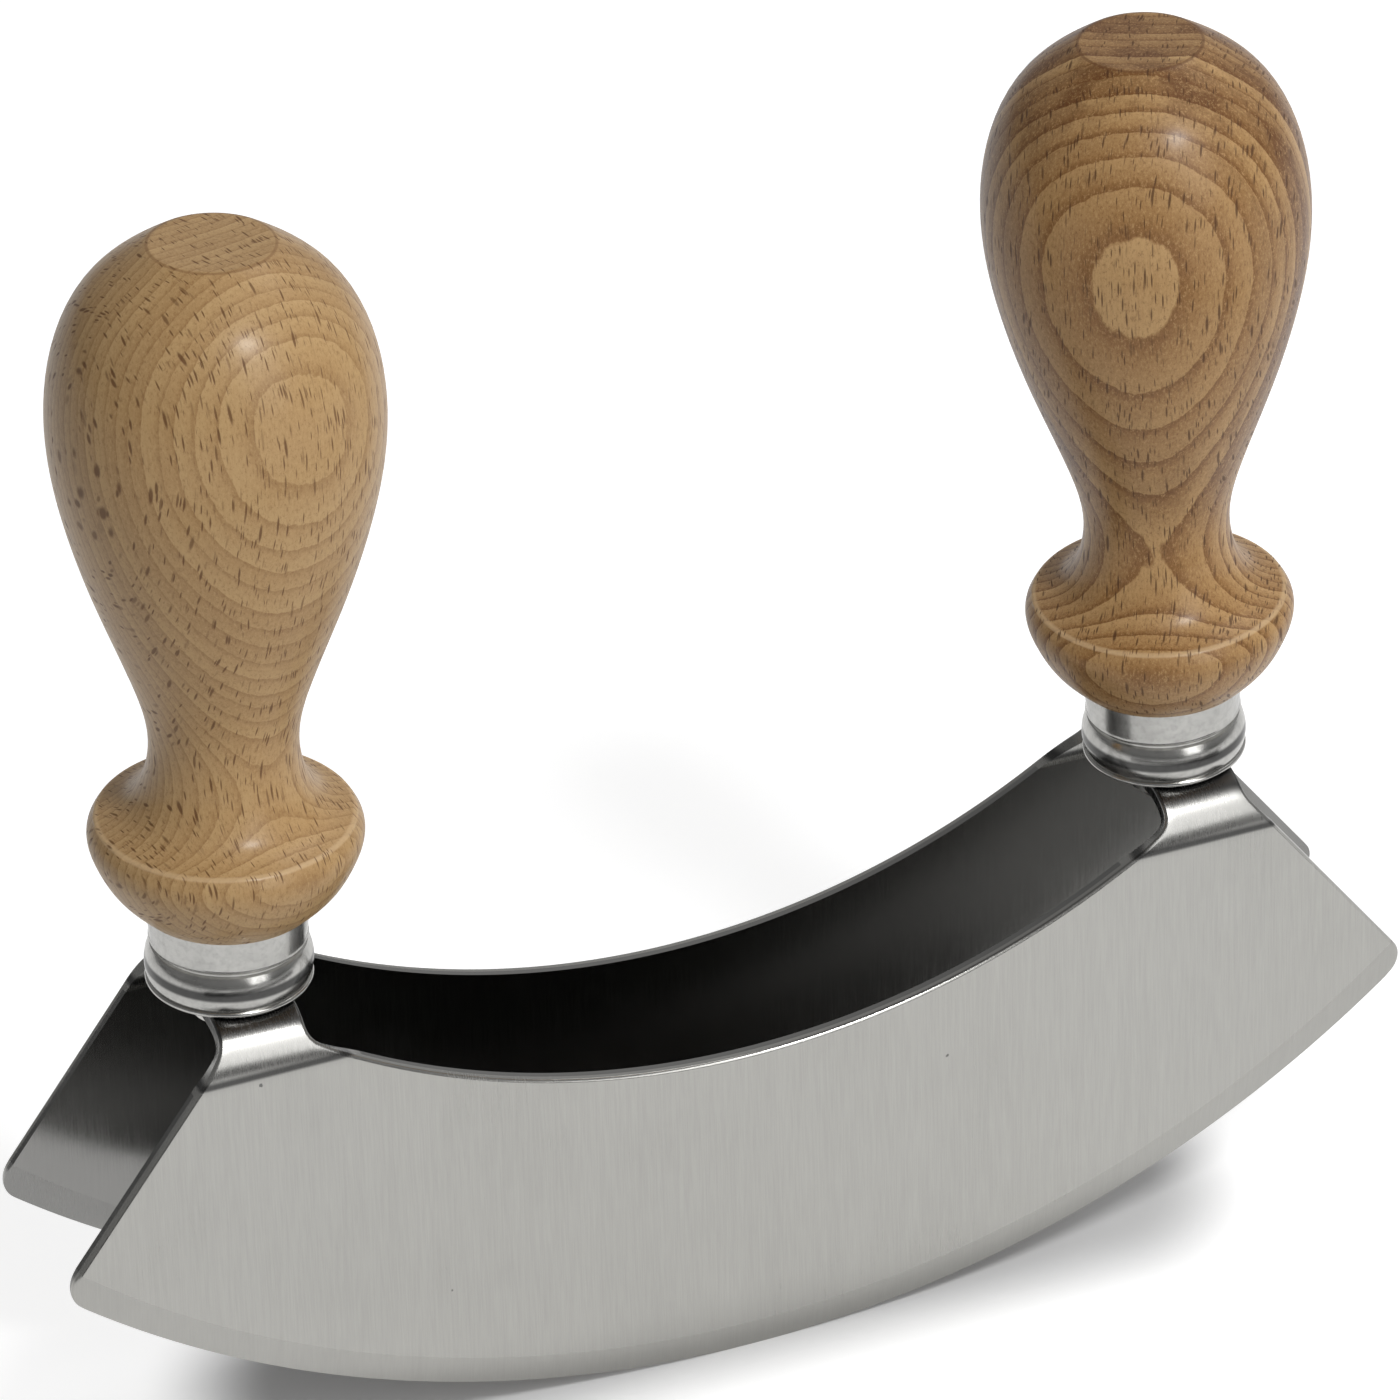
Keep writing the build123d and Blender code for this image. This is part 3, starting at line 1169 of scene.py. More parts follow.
@dataclass
class SheetOutline:
    """Front outline of the cut sheet in X and height: two arcs, slanted ends, straps and rounded corners."""

    seats: StrapSeats
    half_length: float = 90.0
    cutting_radius: float = CUTTING_RADIUS
    blade_depth: float = 44.0
    strap_half_width: float = 5.4
    waist_drop: float = 1.8
    lip_end_drop: float = 3.2
    tip_radius: float = 3.4
    waist_radius: float = 3.5
    lip_corner_radius: float = 2.6
    bevel_height: float = BEVEL_HEIGHT

    def __post_init__(self) -> None:
        """Works out the outline's centres and tangent points."""
        strap_inner = self.seats.reach - self.strap_half_width
        strap_outer = self.seats.reach + self.strap_half_width
        tip_height = self.cutting_radius - math.sqrt(self.cutting_radius**2 - self.half_length**2)
        tip = Vector((self.half_length, tip_height))
        waist = Vector((strap_outer, self.seats.height - self.waist_drop))
        self.slant = (tip - waist).normalized()
        inward = Vector((self.slant.y, -self.slant.x))
        run = self.waist_radius * math.tan(math.acos(-self.slant.y) / 2)
        self.waist_centre = Vector((strap_outer + self.waist_radius, waist.y + run))
        self.waist_start = waist + self.slant * run
        rise = self.seats.height - self.lip_end_drop - self.blade_depth
        lip_radius = (strap_inner**2 + rise**2) / (2 * rise)
        self.lip_radius = lip_radius
        self.lip_centre = Vector((0, self.blade_depth + lip_radius))
        corner_x = strap_inner - self.lip_corner_radius
        drop = math.sqrt((lip_radius - self.lip_corner_radius) ** 2 - corner_x**2)
        self.lip_corner_centre = Vector((corner_x, self.lip_centre.y - drop))
        away = (self.lip_corner_centre - self.lip_centre).normalized()
        self.lip_corner_start = self.lip_centre + away * lip_radius
        self.cutting_centre = Vector((0, self.cutting_radius))
        offset = waist + inward * self.tip_radius
        self.tip_centre = offset + self.slant * self.crossing(offset, self.cutting_radius - self.tip_radius)
        self.tip_slant_end = self.tip_centre - inward * self.tip_radius
        away = (self.tip_centre - self.cutting_centre).normalized()
        self.tip_arc_end = self.cutting_centre + away * self.cutting_radius
        self.ground_radius = self.cutting_radius - self.bevel_height
        self.ground_end = waist + self.slant * self.crossing(waist, self.ground_radius)

    def crossing(self, start: Vector, radius: float) -> float:
        """Follows the slant down to a circle about the cutting centre.

        Args:
            start: where to start, in millimetres.
            radius: the circle's radius in millimetres.

        Returns:
            How far that is.
        """
        offset = start - self.cutting_centre
        half = offset.dot(self.slant)
        return -half + math.sqrt(half**2 - offset.length_squared + radius**2)

    def outer_limit(self, height: float) -> float:
        """Follows the sheet's outer side: the strap's side, the waist corner, then the slanted end.

        Args:
            height: the height in millimetres.

        Returns:
            The outer X there.
        """
        if height < self.waist_start.y:
            return self.waist_start.x + (height - self.waist_start.y) * self.slant.x / self.slant.y
        below = max(self.waist_centre.y - height, 0.0)
        return self.waist_centre.x - math.sqrt(self.waist_radius**2 - below**2)

    def inner_limit(self, height: float) -> float:
        """Follows the sheet's inner side: the strap's side, the lip's corner, then the lip.

        Args:
            height: the height in millimetres.

        Returns:
            The inner X there.
        """
        if height < self.lip_corner_start.y:
            return math.sqrt(self.lip_radius**2 - (self.lip_centre.y - height) ** 2)
        below = max(self.lip_corner_centre.y - height, 0.0)
        return self.lip_corner_centre.x + math.sqrt(self.lip_corner_radius**2 - below**2)


@dataclass
class TwinBlade:
    """One sheet, cut as two crescents and folded over two straps."""

    material: bpy.types.Material
    seats: StrapSeats
    outline: SheetOutline
    thickness: float = 1.8
    half_spread: float = 13.7
    fold_radius: float = 6.7
    rolled_radius: float = 0.5
    edge_land: float = 0.25
    hole_radius: float = STRAP_HOLE_RADIUS
    hole_margin: float = 1.2
    arc_steps: int = 72
    corner_steps: int = 10
    fold_steps: int = 16
    strap_steps: int = 8
    rolled_steps: int = 4
    outline_tries: int = 6

    def front(self, place: Vector) -> Vector:
        """Returns an outline point on the front crescent's outer face."""
        return point(place.x, -self.half_spread, place.y)

    def outline_arc(
        self, mesh: Mesh, first: Vert, centre: Vector, end: Vector, steps: int
    ) -> list[Vert]:
        """Sweeps an arc of the outline from a vertex to an end point, the short way round its centre.

        Args:
            mesh: the mesh that gets the arc.
            first: the arc's first vertex.
            centre: its centre in the outline.
            end: its end in the outline.
            steps: how many chords it has.

        Returns:
            The arc's vertices, with the first.
        """
        one = Vector((first.co.x, first.co.z)) / MM - centre
        two = end - centre
        angle = math.atan2(one.x * two.y - one.y * two.x, one.dot(two))
        return swept(mesh, first, self.front(centre), Vector((0, -1, 0)), angle, steps)

    def on_strap(self, y: float, z: float, limit: Callable[[float], float]) -> Vector:
        """Finds the point of the strap's skin, at one place in its section, that lies on the outline.

        Args:
            y: the place across the tool, in the strap's frame.
            z: its height in that frame.
            limit: gives the outline's X at a height.

        Returns:
            The point.
        """
        frame_here = self.seats.frame_of(Side.RIGHT)
        x = 0.0
        for _ in range(self.outline_tries):
            place = frame_here @ point(x, y, z)
            x += limit(place.z / MM) - place.x / MM
        return frame_here @ point(x, y, z)

    def strap_row(self, y: float, z: float, shares: Sequence[float]) -> list[Vector]:
        """Lays points across the strap at one place in its section.

        Args:
            y: the place across the tool, in the strap's frame.
            z: its height in that frame.
            shares: how far from the inner to the outer side each lies, from 0 to 1.

        Returns:
            The points.
        """
        inner = self.on_strap(y, z, self.outline.inner_limit)
        outer = self.on_strap(y, z, self.outline.outer_limit)
        return [inner.lerp(outer, share) for share in shares]

    def crescent(self, mesh: Mesh) -> list[Vert]:
        """Draws the right half of the front crescent.

        Args:
            mesh: the mesh that gets it.

        Returns:
            The line where the fold starts, from the inner side out.
        """
        line = self.outline
        cutting = self.outline_arc(
            mesh,
            mesh.verts.new(self.front(Vector((0, 0)))),
            line.cutting_centre,
            line.tip_arc_end,
            self.arc_steps,
        )
        ground = self.outline_arc(
            mesh,
            mesh.verts.new(self.front(Vector((0, line.bevel_height)))),
            line.cutting_centre,
            line.ground_end,
            self.arc_steps,
        )
        edges = [mesh.edges.get(pair) for row in (cutting, ground) for pair in zip(row, row[1:])]
        bmesh.ops.bridge_loops(mesh, edges=edges)
        tip = self.outline_arc(mesh, cutting[-1], line.tip_centre, line.tip_slant_end, self.corner_steps)
        fill(mesh, [*tip, ground[-1]])
        shares = [step / self.strap_steps for step in range(self.strap_steps + 1)]
        fold = chain(mesh, self.strap_row(-self.half_spread, -self.fold_radius, shares))
        lip = self.outline_arc(
            mesh,
            mesh.verts.new(self.front(Vector((0, line.blade_depth)))),
            line.lip_centre,
            Vector((fold[0].co.x, fold[0].co.z)) / MM,
            self.arc_steps,
        )
        fill(mesh, [*ground, *reversed(fold), *reversed(lip[:-1])])
        return fold

    def half_strap(self, mesh: Mesh, fold: list[Vert]) -> None:
        """Folds the crescent's horn over the strap and fills the strap as far as its middle.

        Args:
            mesh: the mesh that gets the strap.
            fold: the line where the fold starts.
        """
        place = self.seats.frame_of(Side.RIGHT)
        sideways = (place.to_3x3() @ Vector((1, 0, 0))).normalized()
        upwards = (place.to_3x3() @ Vector((0, 0, 1))).normalized()
        pivot = place @ point(0, self.fold_radius - self.half_spread, -self.fold_radius)
        into_seat = place.inverted()
        shares = {}
        first_x = (into_seat @ fold[0].co).x
        width = (into_seat @ fold[-1].co).x - first_x
        before = len(mesh.verts)
        edges = [mesh.edges.get(pair) for pair in zip(fold, fold[1:])]
        bmesh.ops.spin(
            mesh,
            geom=[*fold, *edges],
            cent=pivot,
            axis=sideways,
            dvec=Vector(),
            angle=-math.pi / 2,
            steps=self.fold_steps,
        )
        bent = new_verts(mesh, before)
        for vert in bent:
            local = into_seat @ vert.co
            share = (local.x - first_x) / width
            vert.co = self.strap_row(local.y / MM, local.z / MM, [share])[0]
            shares[vert] = share
        top = sorted(bent[-len(fold):], key=lambda vert: shares[vert])
        outer = mesh.verts.new(self.on_strap(0, 0, self.outline.outer_limit))
        inner = mesh.verts.new(self.on_strap(0, 0, self.outline.inner_limit))
        start = mesh.verts.new(place @ point(self.hole_radius, 0, 0))
        hole = swept(mesh, start, place @ Vector(), upwards, -math.pi, 2 * self.corner_steps)
        fill(mesh, [*top, outer, *hole, inner])

    def skin(self) -> Mesh:
        """Draws the sheet's whole outer skin, facing outwards.

        Returns:
            The skin.
        """
        mesh = bmesh.new()
        self.half_strap(mesh, self.crescent(mesh))
        bmesh.ops.remove_doubles(mesh, verts=mesh.verts, dist=WELD)
        for axis in ("Y", "X"):
            bmesh.ops.mirror(mesh, geom=everything(mesh), matrix=Matrix(), merge_dist=WELD, axis=axis)
        bmesh.ops.remove_doubles(mesh, verts=mesh.verts, dist=WELD)
        bmesh.ops.recalc_face_normals(mesh, faces=mesh.faces)
        front = min(mesh.faces, key=lambda face: face.calc_center_median().y - face.calc_area())
        if front.normal.y * front.calc_center_median().y < 0:
            bmesh.ops.reverse_faces(mesh, faces=mesh.faces)
        return mesh

    def radius_of(self, vert: Vert) -> float:
        """Returns a vertex's distance from the cutting arc's middle, in millimetres."""
        return math.hypot(vert.co.x / MM, vert.co.z / MM - self.outline.cutting_radius)

    def by_hole(self, vert: Vert) -> bool:
        """Says whether a vertex lies on the rim of a strap's screw hole.

        Args:
            vert: the vertex.

        Returns:
            True if it does.
        """
        reach, height = self.seats.reach, self.seats.height
        near = math.dist((abs(vert.co.x) / MM, vert.co.y / MM, vert.co.z / MM), (reach, 0.0, height))
        return near < self.hole_radius * self.hole_margin

    def grind(self, mesh: Mesh) -> None:
        """Thins each crescent evenly towards its middle plane, from the ground line to the cutting arc.

        Args:
            mesh: the sheet.
        """
        middle = self.half_spread - self.thickness / 2
        removed = 1 - self.edge_land / self.thickness
        for vert in mesh.verts:
            beyond = (self.radius_of(vert) - self.outline.ground_radius) / self.outline.bevel_height
            if beyond > 0:
                offset = abs(vert.co.y) / MM - middle
                vert.co.y = math.copysign((middle + offset * (1 - removed * beyond)) * MM, vert.co.y)

    def build(self) -> bpy.types.Object:
        """Builds the sheet: skin, thickness, rolled rim and ground edges.

        Returns:
            The piece.
        """
        mesh = self.skin()
        outer = set(mesh.verts)
        bmesh.ops.solidify(mesh, geom=mesh.faces[:], thickness=self.thickness * MM)
        slack = 0.01
        rim = [
            edge
            for edge in mesh.edges
            if all(vert in outer for vert in edge.verts)
            and any(vert not in outer for face in edge.link_faces for vert in face.verts)
            and any(self.radius_of(vert) < self.outline.cutting_radius - slack for vert in edge.verts)
            and not all(self.by_hole(vert) for vert in edge.verts)
        ]
        soften(mesh, rim, self.rolled_radius, self.rolled_steps)
        self.grind(mesh)
        face_outwards(mesh)
        return finished("folded_sheet", mesh, self.material, ["twin_blade"])


def arc_through(start: Pair, middle: Pair, end: Pair, steps: int) -> list[Pair]:
    """Draws the circle's arc through three points.

    Args:
        start: the first point.
        middle: a point on the way.
        end: the last point.
        steps: how many chords it has.

    Returns:
        Points along the arc, without the first.
    """
    a, b, c = Vector(start), Vector(middle), Vector(end)
    ab, ac = b - a, c - a
    doubled = 2 * (ab.x * ac.y - ab.y * ac.x)
    centre = a + Vector(
        (
            ac.y * ab.length_squared - ab.y * ac.length_squared,
            ab.x * ac.length_squared - ac.x * ab.length_squared,
        )
    ) / doubled
    one, two = a - centre, c - centre
    turn = math.atan2(one.x * two.y - one.y * two.x, one.dot(two))
    drawn = []
    for step in range(1, steps + 1):
        angle = turn * step / steps
        cosine, sine = math.cos(angle), math.sin(angle)
        spun = Vector((one.x * cosine - one.y * sine, one.x * sine + one.y * cosine))
        drawn.append(tuple(centre + spun))
    return drawn


@dataclass
class Ferrule:
    """Drawn and rolled collar round the handle's foot."""

    material: bpy.types.Material
    seats: StrapSeats
    side: Side
    height: float = FERRULE_HEIGHT
    wall: float = 0.7
    floor: float = 1.0
    hole_radius: float = STRAP_HOLE_RADIUS
    band_top_radius: float = 9.9
    band_foot_radius: float = 9.55
    bead_radius: float = 10.25
    bead_height: float = 5.2
    bead_widest_height: float = 2.4
    foot_ring_height: float = 0.7
    foot_ring_radius: float = 10.2
    bead_foot_radius: float = 9.9
    step_height: float = 0.9
    groove_depth: float = 0.3
    rolled_lip: float = 0.15
    ring_steps: int = 8
    bead_steps: int = 20
    crease: float = 28.0
    segments: int = 144

    def profile(self) -> list[Pair]:
        """Draws the collar's half section, up the outside and down the inside.

        Returns:
            Radius and height of each corner, in millimetres.
        """
        band_foot = self.bead_height + self.step_height
        inner = self.band_foot_radius - self.wall
        ring_foot = (self.bead_foot_radius, 0.0)
        ring_top = (self.bead_foot_radius, self.foot_ring_height)
        ring_side = (self.foot_ring_radius, self.foot_ring_height / 2)
        bead_top = (self.band_foot_radius, self.bead_height)
        return [
            (self.hole_radius, self.floor),
            (self.hole_radius, 0.0),
            ring_foot,
            *arc_through(ring_foot, ring_side, ring_top, self.ring_steps),
            *arc_through(ring_top, (self.bead_radius, self.bead_widest_height), bead_top, self.bead_steps),
            (self.band_foot_radius - self.groove_depth, self.bead_height + self.groove_depth / 2),
            (self.band_foot_radius - self.groove_depth, self.bead_height + self.groove_depth * 3 / 2),
            (self.band_foot_radius, self.bead_height + self.groove_depth * 2),
            (self.band_foot_radius + self.groove_depth / 2, band_foot),
            (self.band_foot_radius + self.groove_depth / 8, band_foot + self.groove_depth),
            (self.band_top_radius, self.height - self.rolled_lip),
            (self.band_top_radius - self.rolled_lip, self.height),
            (inner, self.height),
            (inner, self.floor),
        ]

    def build(self) -> bpy.types.Object:
        """Builds the collar on its strap.

        Returns:
            The piece.
        """
        mesh = turned(self.profile(), self.segments)
        mesh.transform(self.seats.frame_of(self.side))
        name = self.side.name.lower()
        nodes = [f"{name}_ferrule"]
        title = f"{name}_collar_ferrule"
        return finished(title, mesh, self.material, nodes, crease=self.crease)


@dataclass
class TurnedHandle:
    """Beech bulb handle with a collar and a spigot inside the ferrule."""

    material: bpy.types.Material
    seats: StrapSeats
    side: Side
    foot: float = FERRULE_HEIGHT
    height: float = 88.4
    bulb_radius: float = 19.9
    bulb_widest_height: float = 67.7
    crown_flat_radius: float = CROWN_RADIUS
    neck_radius: float = 9.0
    neck_height: float = 22.7
    collar_radius: float = 16.5
    collar_widest_height: float = 10.4
    ridge_radius: float = 15.7
    ridge_height: float = RIDGE_RISE
    collar_foot_radius: float = 11.0
    spigot_radius: float = 8.75
    spigot_foot: float = 1.1
    spigot_chamfer: float = 0.8
    bore_radius: float = 2.55
    bore_end: float = 44.0
    bore_cone: float = 6.0
    belly_rise: tuple[float, ...] = (0.19, 0.43, 0.69)
    belly_swell: tuple[float, ...] = (0.18, 0.542, 0.86)
    flare_rise: tuple[float, ...] = (0.14, 0.37, 0.64)
    flare_swell: tuple[float, ...] = (0.5, 0.2, 0.05)
    bowl_rise: tuple[float, ...] = (0.32, 0.63)
    bowl_swell: tuple[float, ...] = (0.56, 0.88)
    crown_middle: float = 0.6
    ridge_rounding: float = 0.18
    crown_rounding: float = 0.5
    rounding_steps: int = 3
    crease: float = 40.0
    segments: int = 160
    curve_steps: int = 10

    def profile(self) -> list[Pair]:
        """Draws the handle's half section, from the bore's end round the outside to the crown.

        Returns:
            Radius and height of each corner, in millimetres.
        """
        foot = self.foot
        crown = foot + self.height
        bulb = foot + self.bulb_widest_height
        bowl = [
            (
                between(self.collar_foot_radius, self.collar_radius, swell),
                foot + self.collar_widest_height * rise,
            )
            for rise, swell in zip(self.bowl_rise, self.bowl_swell)
        ]
        flare = [
            (
                between(self.neck_radius, self.ridge_radius, swell),
                foot + between(self.ridge_height, self.neck_height, rise),
            )
            for rise, swell in zip(self.flare_rise, self.flare_swell)
        ]
        belly = [
            (
                between(self.neck_radius, self.bulb_radius, swell),
                foot + between(self.neck_height, self.bulb_widest_height, rise),
            )
            for rise, swell in zip(self.belly_rise, self.belly_swell)
        ]
        crown_share = self.crown_flat_radius / self.bulb_radius
        crown_axis = (self.height - self.bulb_widest_height) / math.sqrt(1 - crown_share**2)
        middle = between(self.crown_flat_radius, self.bulb_radius, self.crown_middle)
        middle_rise = crown_axis * math.sqrt(1 - (middle / self.bulb_radius) ** 2)
        ridge = (self.ridge_radius, foot + self.ridge_height)
        lower = smooth_curve(
            [
                (self.collar_foot_radius, foot),
                *bowl,
                (self.collar_radius, foot + self.collar_widest_height),
                ridge,
            ],
            self.curve_steps,
        )
        upper = smooth_curve(
            [
                ridge,
                *flare,
                (self.neck_radius, foot + self.neck_height),
                *belly,
                (self.bulb_radius, bulb),
                (middle, bulb + middle_rise),
                (self.crown_flat_radius, crown),
            ],
            self.curve_steps,
        )
        return [
            (0.0, self.bore_end),
            (self.bore_radius, self.bore_end - self.bore_cone),
            (self.bore_radius, self.spigot_foot),
            (self.spigot_radius - self.spigot_chamfer, self.spigot_foot),
            (self.spigot_radius, self.spigot_foot + self.spigot_chamfer),
            (self.spigot_radius, foot),
            *lower,
            *upper[1:],
            (self.crown_flat_radius / 2, crown),
            (0.0, crown),
        ]

    def build(self) -> bpy.types.Object:
        """Builds the handle on its strap.

        Returns:
            The piece.
        """
        mesh = turned(self.profile(), self.segments)
        ridge = ring_edges(mesh, self.ridge_radius, self.foot + self.ridge_height)
        soften(mesh, ridge, self.ridge_rounding, self.rounding_steps)
        crown = ring_edges(mesh, self.crown_flat_radius, self.foot + self.height)
        soften(mesh, crown, self.crown_rounding, self.rounding_steps)
        mesh.transform(self.seats.frame_of(self.side))
        name = self.side.name.lower()
        nodes = [f"{name}_handle"]
        return finished(f"{name}_bulb_handle", mesh, self.material, nodes, crease=self.crease)


@dataclass(frozen=True)
class Softbox:
    """One soft lamp: its place round the tool in degrees and metres, its size in metres and its power."""

    name: str
    azimuth: float
    elevation: float
    size: Pair
    watts: float
    distance: float = 1.3


@dataclass
class Studio:
    """Pale floor, soft lamps, a light room and the camera."""

    softboxes: tuple[Softbox, ...] = (
        Softbox("window_softbox", 18, 30, (0.55, 1.2), 4.8),
        Softbox("key_softbox", 15, 52, (0.24, 0.24), 7.0),
        Softbox("side_softbox", 108, 58, (0.5, 0.5), 1.8),
    )
    floor_size: float = 8.0
    paper: Colour = grey(0.71)
    paper_tooth: Colour = grey(0.69)
    card: Colour = grey(0.015)
    card_nap: Colour = grey(0.03)
    floor_glow: float = 0.68
    mirrored_glow: float = 0.8
    # Painted shadow round the blades' footprint: its half length, half width and fade, in millimetres.
    gap_half_length: float = 50.0
    gap_half_width: float = 9.0
    gap_fade: float = 18.0
    strip_radius: float = 0.21
    strip_turn: float = 62.0
    strip_heights: Pair = (0.014, 0.05)
    strip_steps: int = 48
    horizon: tuple[float, ...] = (-0.05, 0.2, 0.04, 0.26)
    zenith: tuple[float, ...] = (0.6, 0.95, 1.0, 0.45)
    bright_wall: Triple = (0.8, 0.58, 0.15)
    wall_light: tuple[float, ...] = (0.2, 0.9, 0.0, 0.22)
    azimuth: float = -21.63
    elevation: float = 31.61
    roll: float = -1.69
    distance: float = 1.0504
    lens: float = 222.6
    sensor_width: float = 36.0
    clip: Pair = (0.05, 50.0)
    target: Triple = (-0.1, 0.0, 87.4)

    def floor(self) -> bpy.types.Object:
        """Lays the floor, which camera and mirror rays see brighter, except in a painted shadow round the
        blades' footprint.

        Returns:
            The floor.
        """
        mesh = bmesh.new()
        bmesh.ops.create_grid(mesh, x_segments=4, y_segments=4, size=self.floor_size / 2)
        floor = placed("floor", mesh_data("floor", mesh))
        material, bench, shader, places = new_material("floor_paper")
        tooth = bench.noise(bench.scaled(places, 1 / MM), 0.8, 3.0)
        paper = bench.mixed(bench.ramp(tooth, 0.3, 0.7, 0.0, 0.3), self.paper, self.paper_tooth)
        bench.feed(shader.inputs["Base Color"], paper)
        shader.inputs["Roughness"].default_value = 0.9
        shader.inputs["Specular IOR Level"].default_value = 0.1
        paths = bench.add("ShaderNodeLightPath")
        mirrored = bench.math("MAXIMUM", paths.outputs["Is Glossy Ray"], paths.outputs["Is Transmission Ray"])
        x, y, _ = bench.parts(bench.scaled(places, 1 / MM))
        mirrored = bench.times(mirrored, self.mirrored_glow)
        seen = bench.math("MAXIMUM", paths.outputs["Is Camera Ray"], mirrored)
        # Painted shadow: the glow fades out round the blades' footprint, so the floor is darker under and
        # between them.
        past = bench.math("MAXIMUM", bench.minus(bench.math("ABSOLUTE", x), self.gap_half_length), 0.0)
        apart = bench.vector("LENGTH", bench.joined(past, y, 0.0))
        outside_painted_shadow = bench.ramp(apart, self.gap_half_width, self.gap_half_width + self.gap_fade)
        bench.feed(shader.inputs["Emission Color"], grey(1.0))
        glow = bench.times(bench.times(seen, outside_painted_shadow), self.floor_glow)
        bench.feed(shader.inputs["Emission Strength"], glow)
        floor.data.materials.append(material)
        return floor

    def lamp(self, box: Softbox) -> bpy.types.Object:
        """Hangs a soft lamp that faces the tool.

        Args:
            box: which lamp.

        Returns:
            The lamp.
        """
        data = bpy.data.lights.new(box.name, "AREA")
        data.shape = "RECTANGLE"
        data.size, data.size_y = box.size
        data.energy = box.watts
        lamp = placed(box.name, data)
        away = outward(box.azimuth, box.elevation)
        lamp.location = point(*self.target) + away * box.distance
        lamp.rotation_euler = (-away).to_track_quat("-Z", "Y").to_euler()
        return lamp

    def dark_strip(self) -> bpy.types.Object:
        """Hangs a low dark strip before the tool that only metal and varnish mirror, for crisp edges.

        Returns:
            The strip.
        """
        mesh = bmesh.new()
        reach, turn = self.strip_radius, math.radians(self.strip_turn)
        start_x, start_y = -reach * math.sin(turn), -reach * math.cos(turn)
        ends = [Vector((start_x, start_y, height)) for height in self.strip_heights]
        upright = mesh.edges.new([mesh.verts.new(end) for end in ends])
        bmesh.ops.spin(
            mesh,
            geom=[*upright.verts, upright],
            cent=Vector(),
            axis=Vector((0, 0, 1)),
            dvec=Vector(),
            angle=2 * turn,
            steps=self.strip_steps,
        )
        band = placed("dark_band", mesh_data("dark_band", mesh))
        material, bench, shader, places = new_material("dark_card")
        nap = bench.noise(bench.scaled(places, 1 / MM), 0.5, 3.0)
        bench.feed(shader.inputs["Base Color"], bench.mixed(nap, self.card, self.card_nap))
        shader.inputs["Roughness"].default_value = 1.0
        shader.inputs["Specular IOR Level"].default_value = 0.0
        band.data.materials.append(material)
        for sight in ("visible_camera", "visible_diffuse", "visible_shadow", "visible_transmission"):
            setattr(band, sight, False)
        return band

    def room(self) -> None:
        """Surrounds the tool with a light room: bright above, dim near the horizon."""
        world = bpy.data.worlds.new("light_room")
        bpy.context.scene.world = world
        world.use_nodes = True
        bench = NodeBench(world.node_tree)
        background = world.node_tree.nodes["Background"]
        x, y, z = bench.parts(bench.add("ShaderNodeTexCoord").outputs["Generated"])
        rise = bench.ramp(z, *self.horizon)
        rise = bench.times(rise, bench.ramp(z, *self.zenith))
        right_wall = bench.vector("DOT_PRODUCT", bench.joined(x, y, z), Vector(self.bright_wall))
        level = bench.plus(rise, bench.ramp(right_wall, *self.wall_light))
        paths = bench.add("ShaderNodeLightPath")
        seen = bench.math("MAXIMUM", paths.outputs["Is Camera Ray"], paths.outputs["Is Transmission Ray"])
        light = bench.mixed(seen, bench.joined(level, level, level), grey(1.0))
        bench.feed(background.inputs["Color"], light)
        background.inputs["Strength"].default_value = 1.0

    def camera(self) -> bpy.types.Object:
        """Sets up the camera at the photograph's view.

        Returns:
            The camera.
        """
        data = bpy.data.cameras.new("camera")
        data.lens = self.lens
        data.sensor_width = self.sensor_width
        data.sensor_fit = "HORIZONTAL"
        data.clip_start, data.clip_end = self.clip
        camera = placed("camera", data)
        roll = math.radians(self.roll)
        away = outward(self.azimuth, self.elevation)
        right = (-away).cross(Vector((0, 0, 1))).normalized()
        above = right.cross(-away)
        across = right * math.cos(roll) + above * math.sin(roll)
        upward = -right * math.sin(roll) + above * math.cos(roll)
        turn = Matrix((across, upward, away)).transposed().to_4x4()
        camera.matrix_world = Matrix.Translation(point(*self.target) + away * self.distance) @ turn
        bpy.context.scene.camera = camera
        return camera

    def set_up(self) -> None:
        """Builds the whole set."""
        bpy.context.scene.view_settings.view_transform = "Standard"
        self.floor()
        self.room()
        for box in self.softboxes:
            self.lamp(box)
        self.dark_strip()
        self.camera()


LEFT_BEECH = Beech(
    name="left_beech",
    middle=(-59.35, 0.0, 143.4),
    through_rings=(0.24, -0.94, 0.18),
    along_grain=(0.05, 0.0, 1.0),
    pale=(0.53, 0.35, 0.165, 1.0),
    tan=(0.36, 0.203, 0.081, 1.0),
    brown=(0.22, 0.11, 0.04, 1.0),
    fleck=(0.12, 0.048, 0.016, 1.0),
    ring_width=1.35,
    first_ring=0.9,
    waviness=0.3,
    contrast=0.55,
    seed=3.0,
    heart_streaks=0.2,
)

RIGHT_BEECH = Beech(
    name="right_beech",
    middle=(59.35, 0.0, 143.4),
    through_rings=(-0.5, -0.87, -0.03),
    along_grain=(0.0, 0.0, 1.0),
    pale=(0.53, 0.335, 0.15, 1.0),
    tan=(0.275, 0.135, 0.044, 1.0),
    brown=(0.115, 0.041, 0.011, 1.0),
    fleck=(0.08, 0.032, 0.011, 1.0),
    ring_width=2.0,
    first_ring=0.27,
    waviness=0.35,
    contrast=0.95,
    seed=11.0,
    heart_streaks=0.85,
)


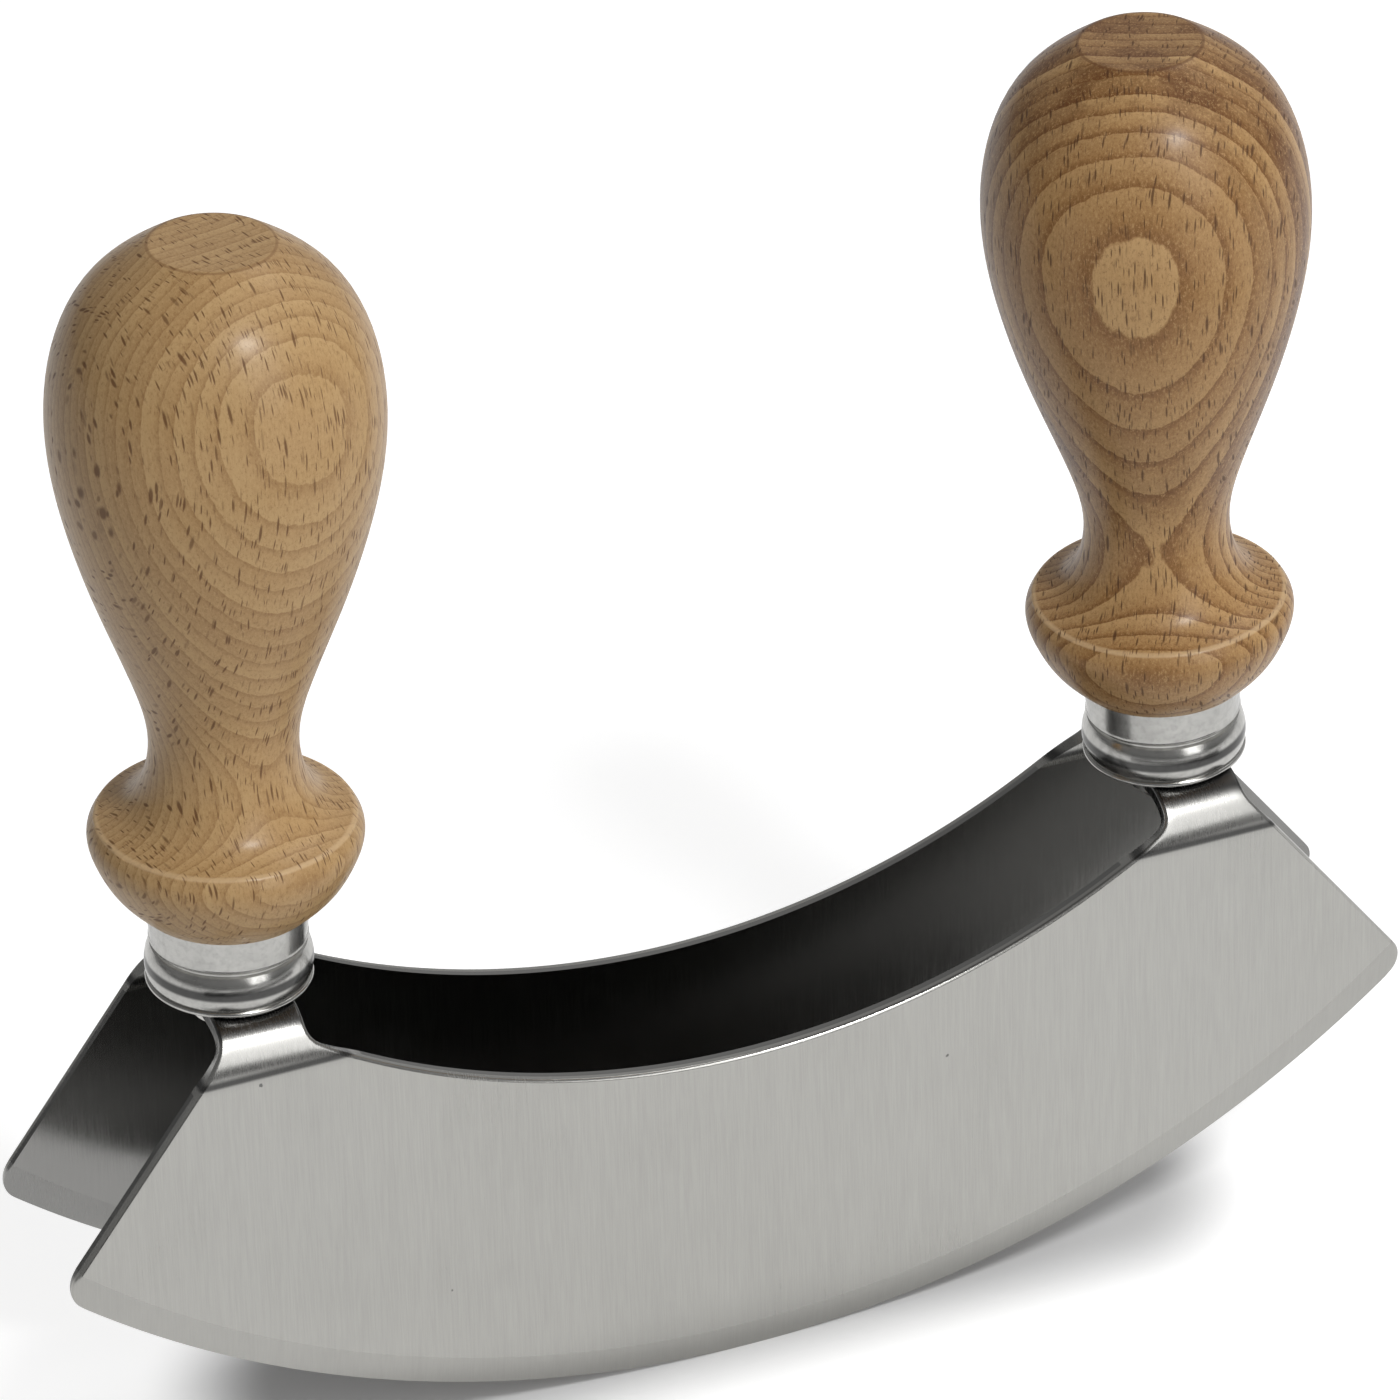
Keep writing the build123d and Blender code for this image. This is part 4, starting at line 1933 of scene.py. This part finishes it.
def main() -> None:
    """Builds the pieces in order and reports each."""
    logging.basicConfig(level=logging.INFO, format="%(message)s")
    Studio().set_up()
    kit = NodeKit()
    seats = StrapSeats()
    sheet_steel = SatinSteel().material(kit)
    bright_steel = PolishedSteel().material(kit)
    zinc = ZincSteel().material(kit)
    TwinBlade(sheet_steel, seats, SheetOutline(seats)).build()
    for side, beech in ((Side.LEFT, LEFT_BEECH), (Side.RIGHT, RIGHT_BEECH)):
        Ferrule(bright_steel, seats, side).build()
        TurnedHandle(beech.material(kit, seats.frame_of(side)), seats, side).build()
    for name in ("handle_screws", "screw_washers"):
        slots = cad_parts[name].data.materials
        slots.clear()
        slots.append(zinc)


if __name__ == "__main__":
    main()
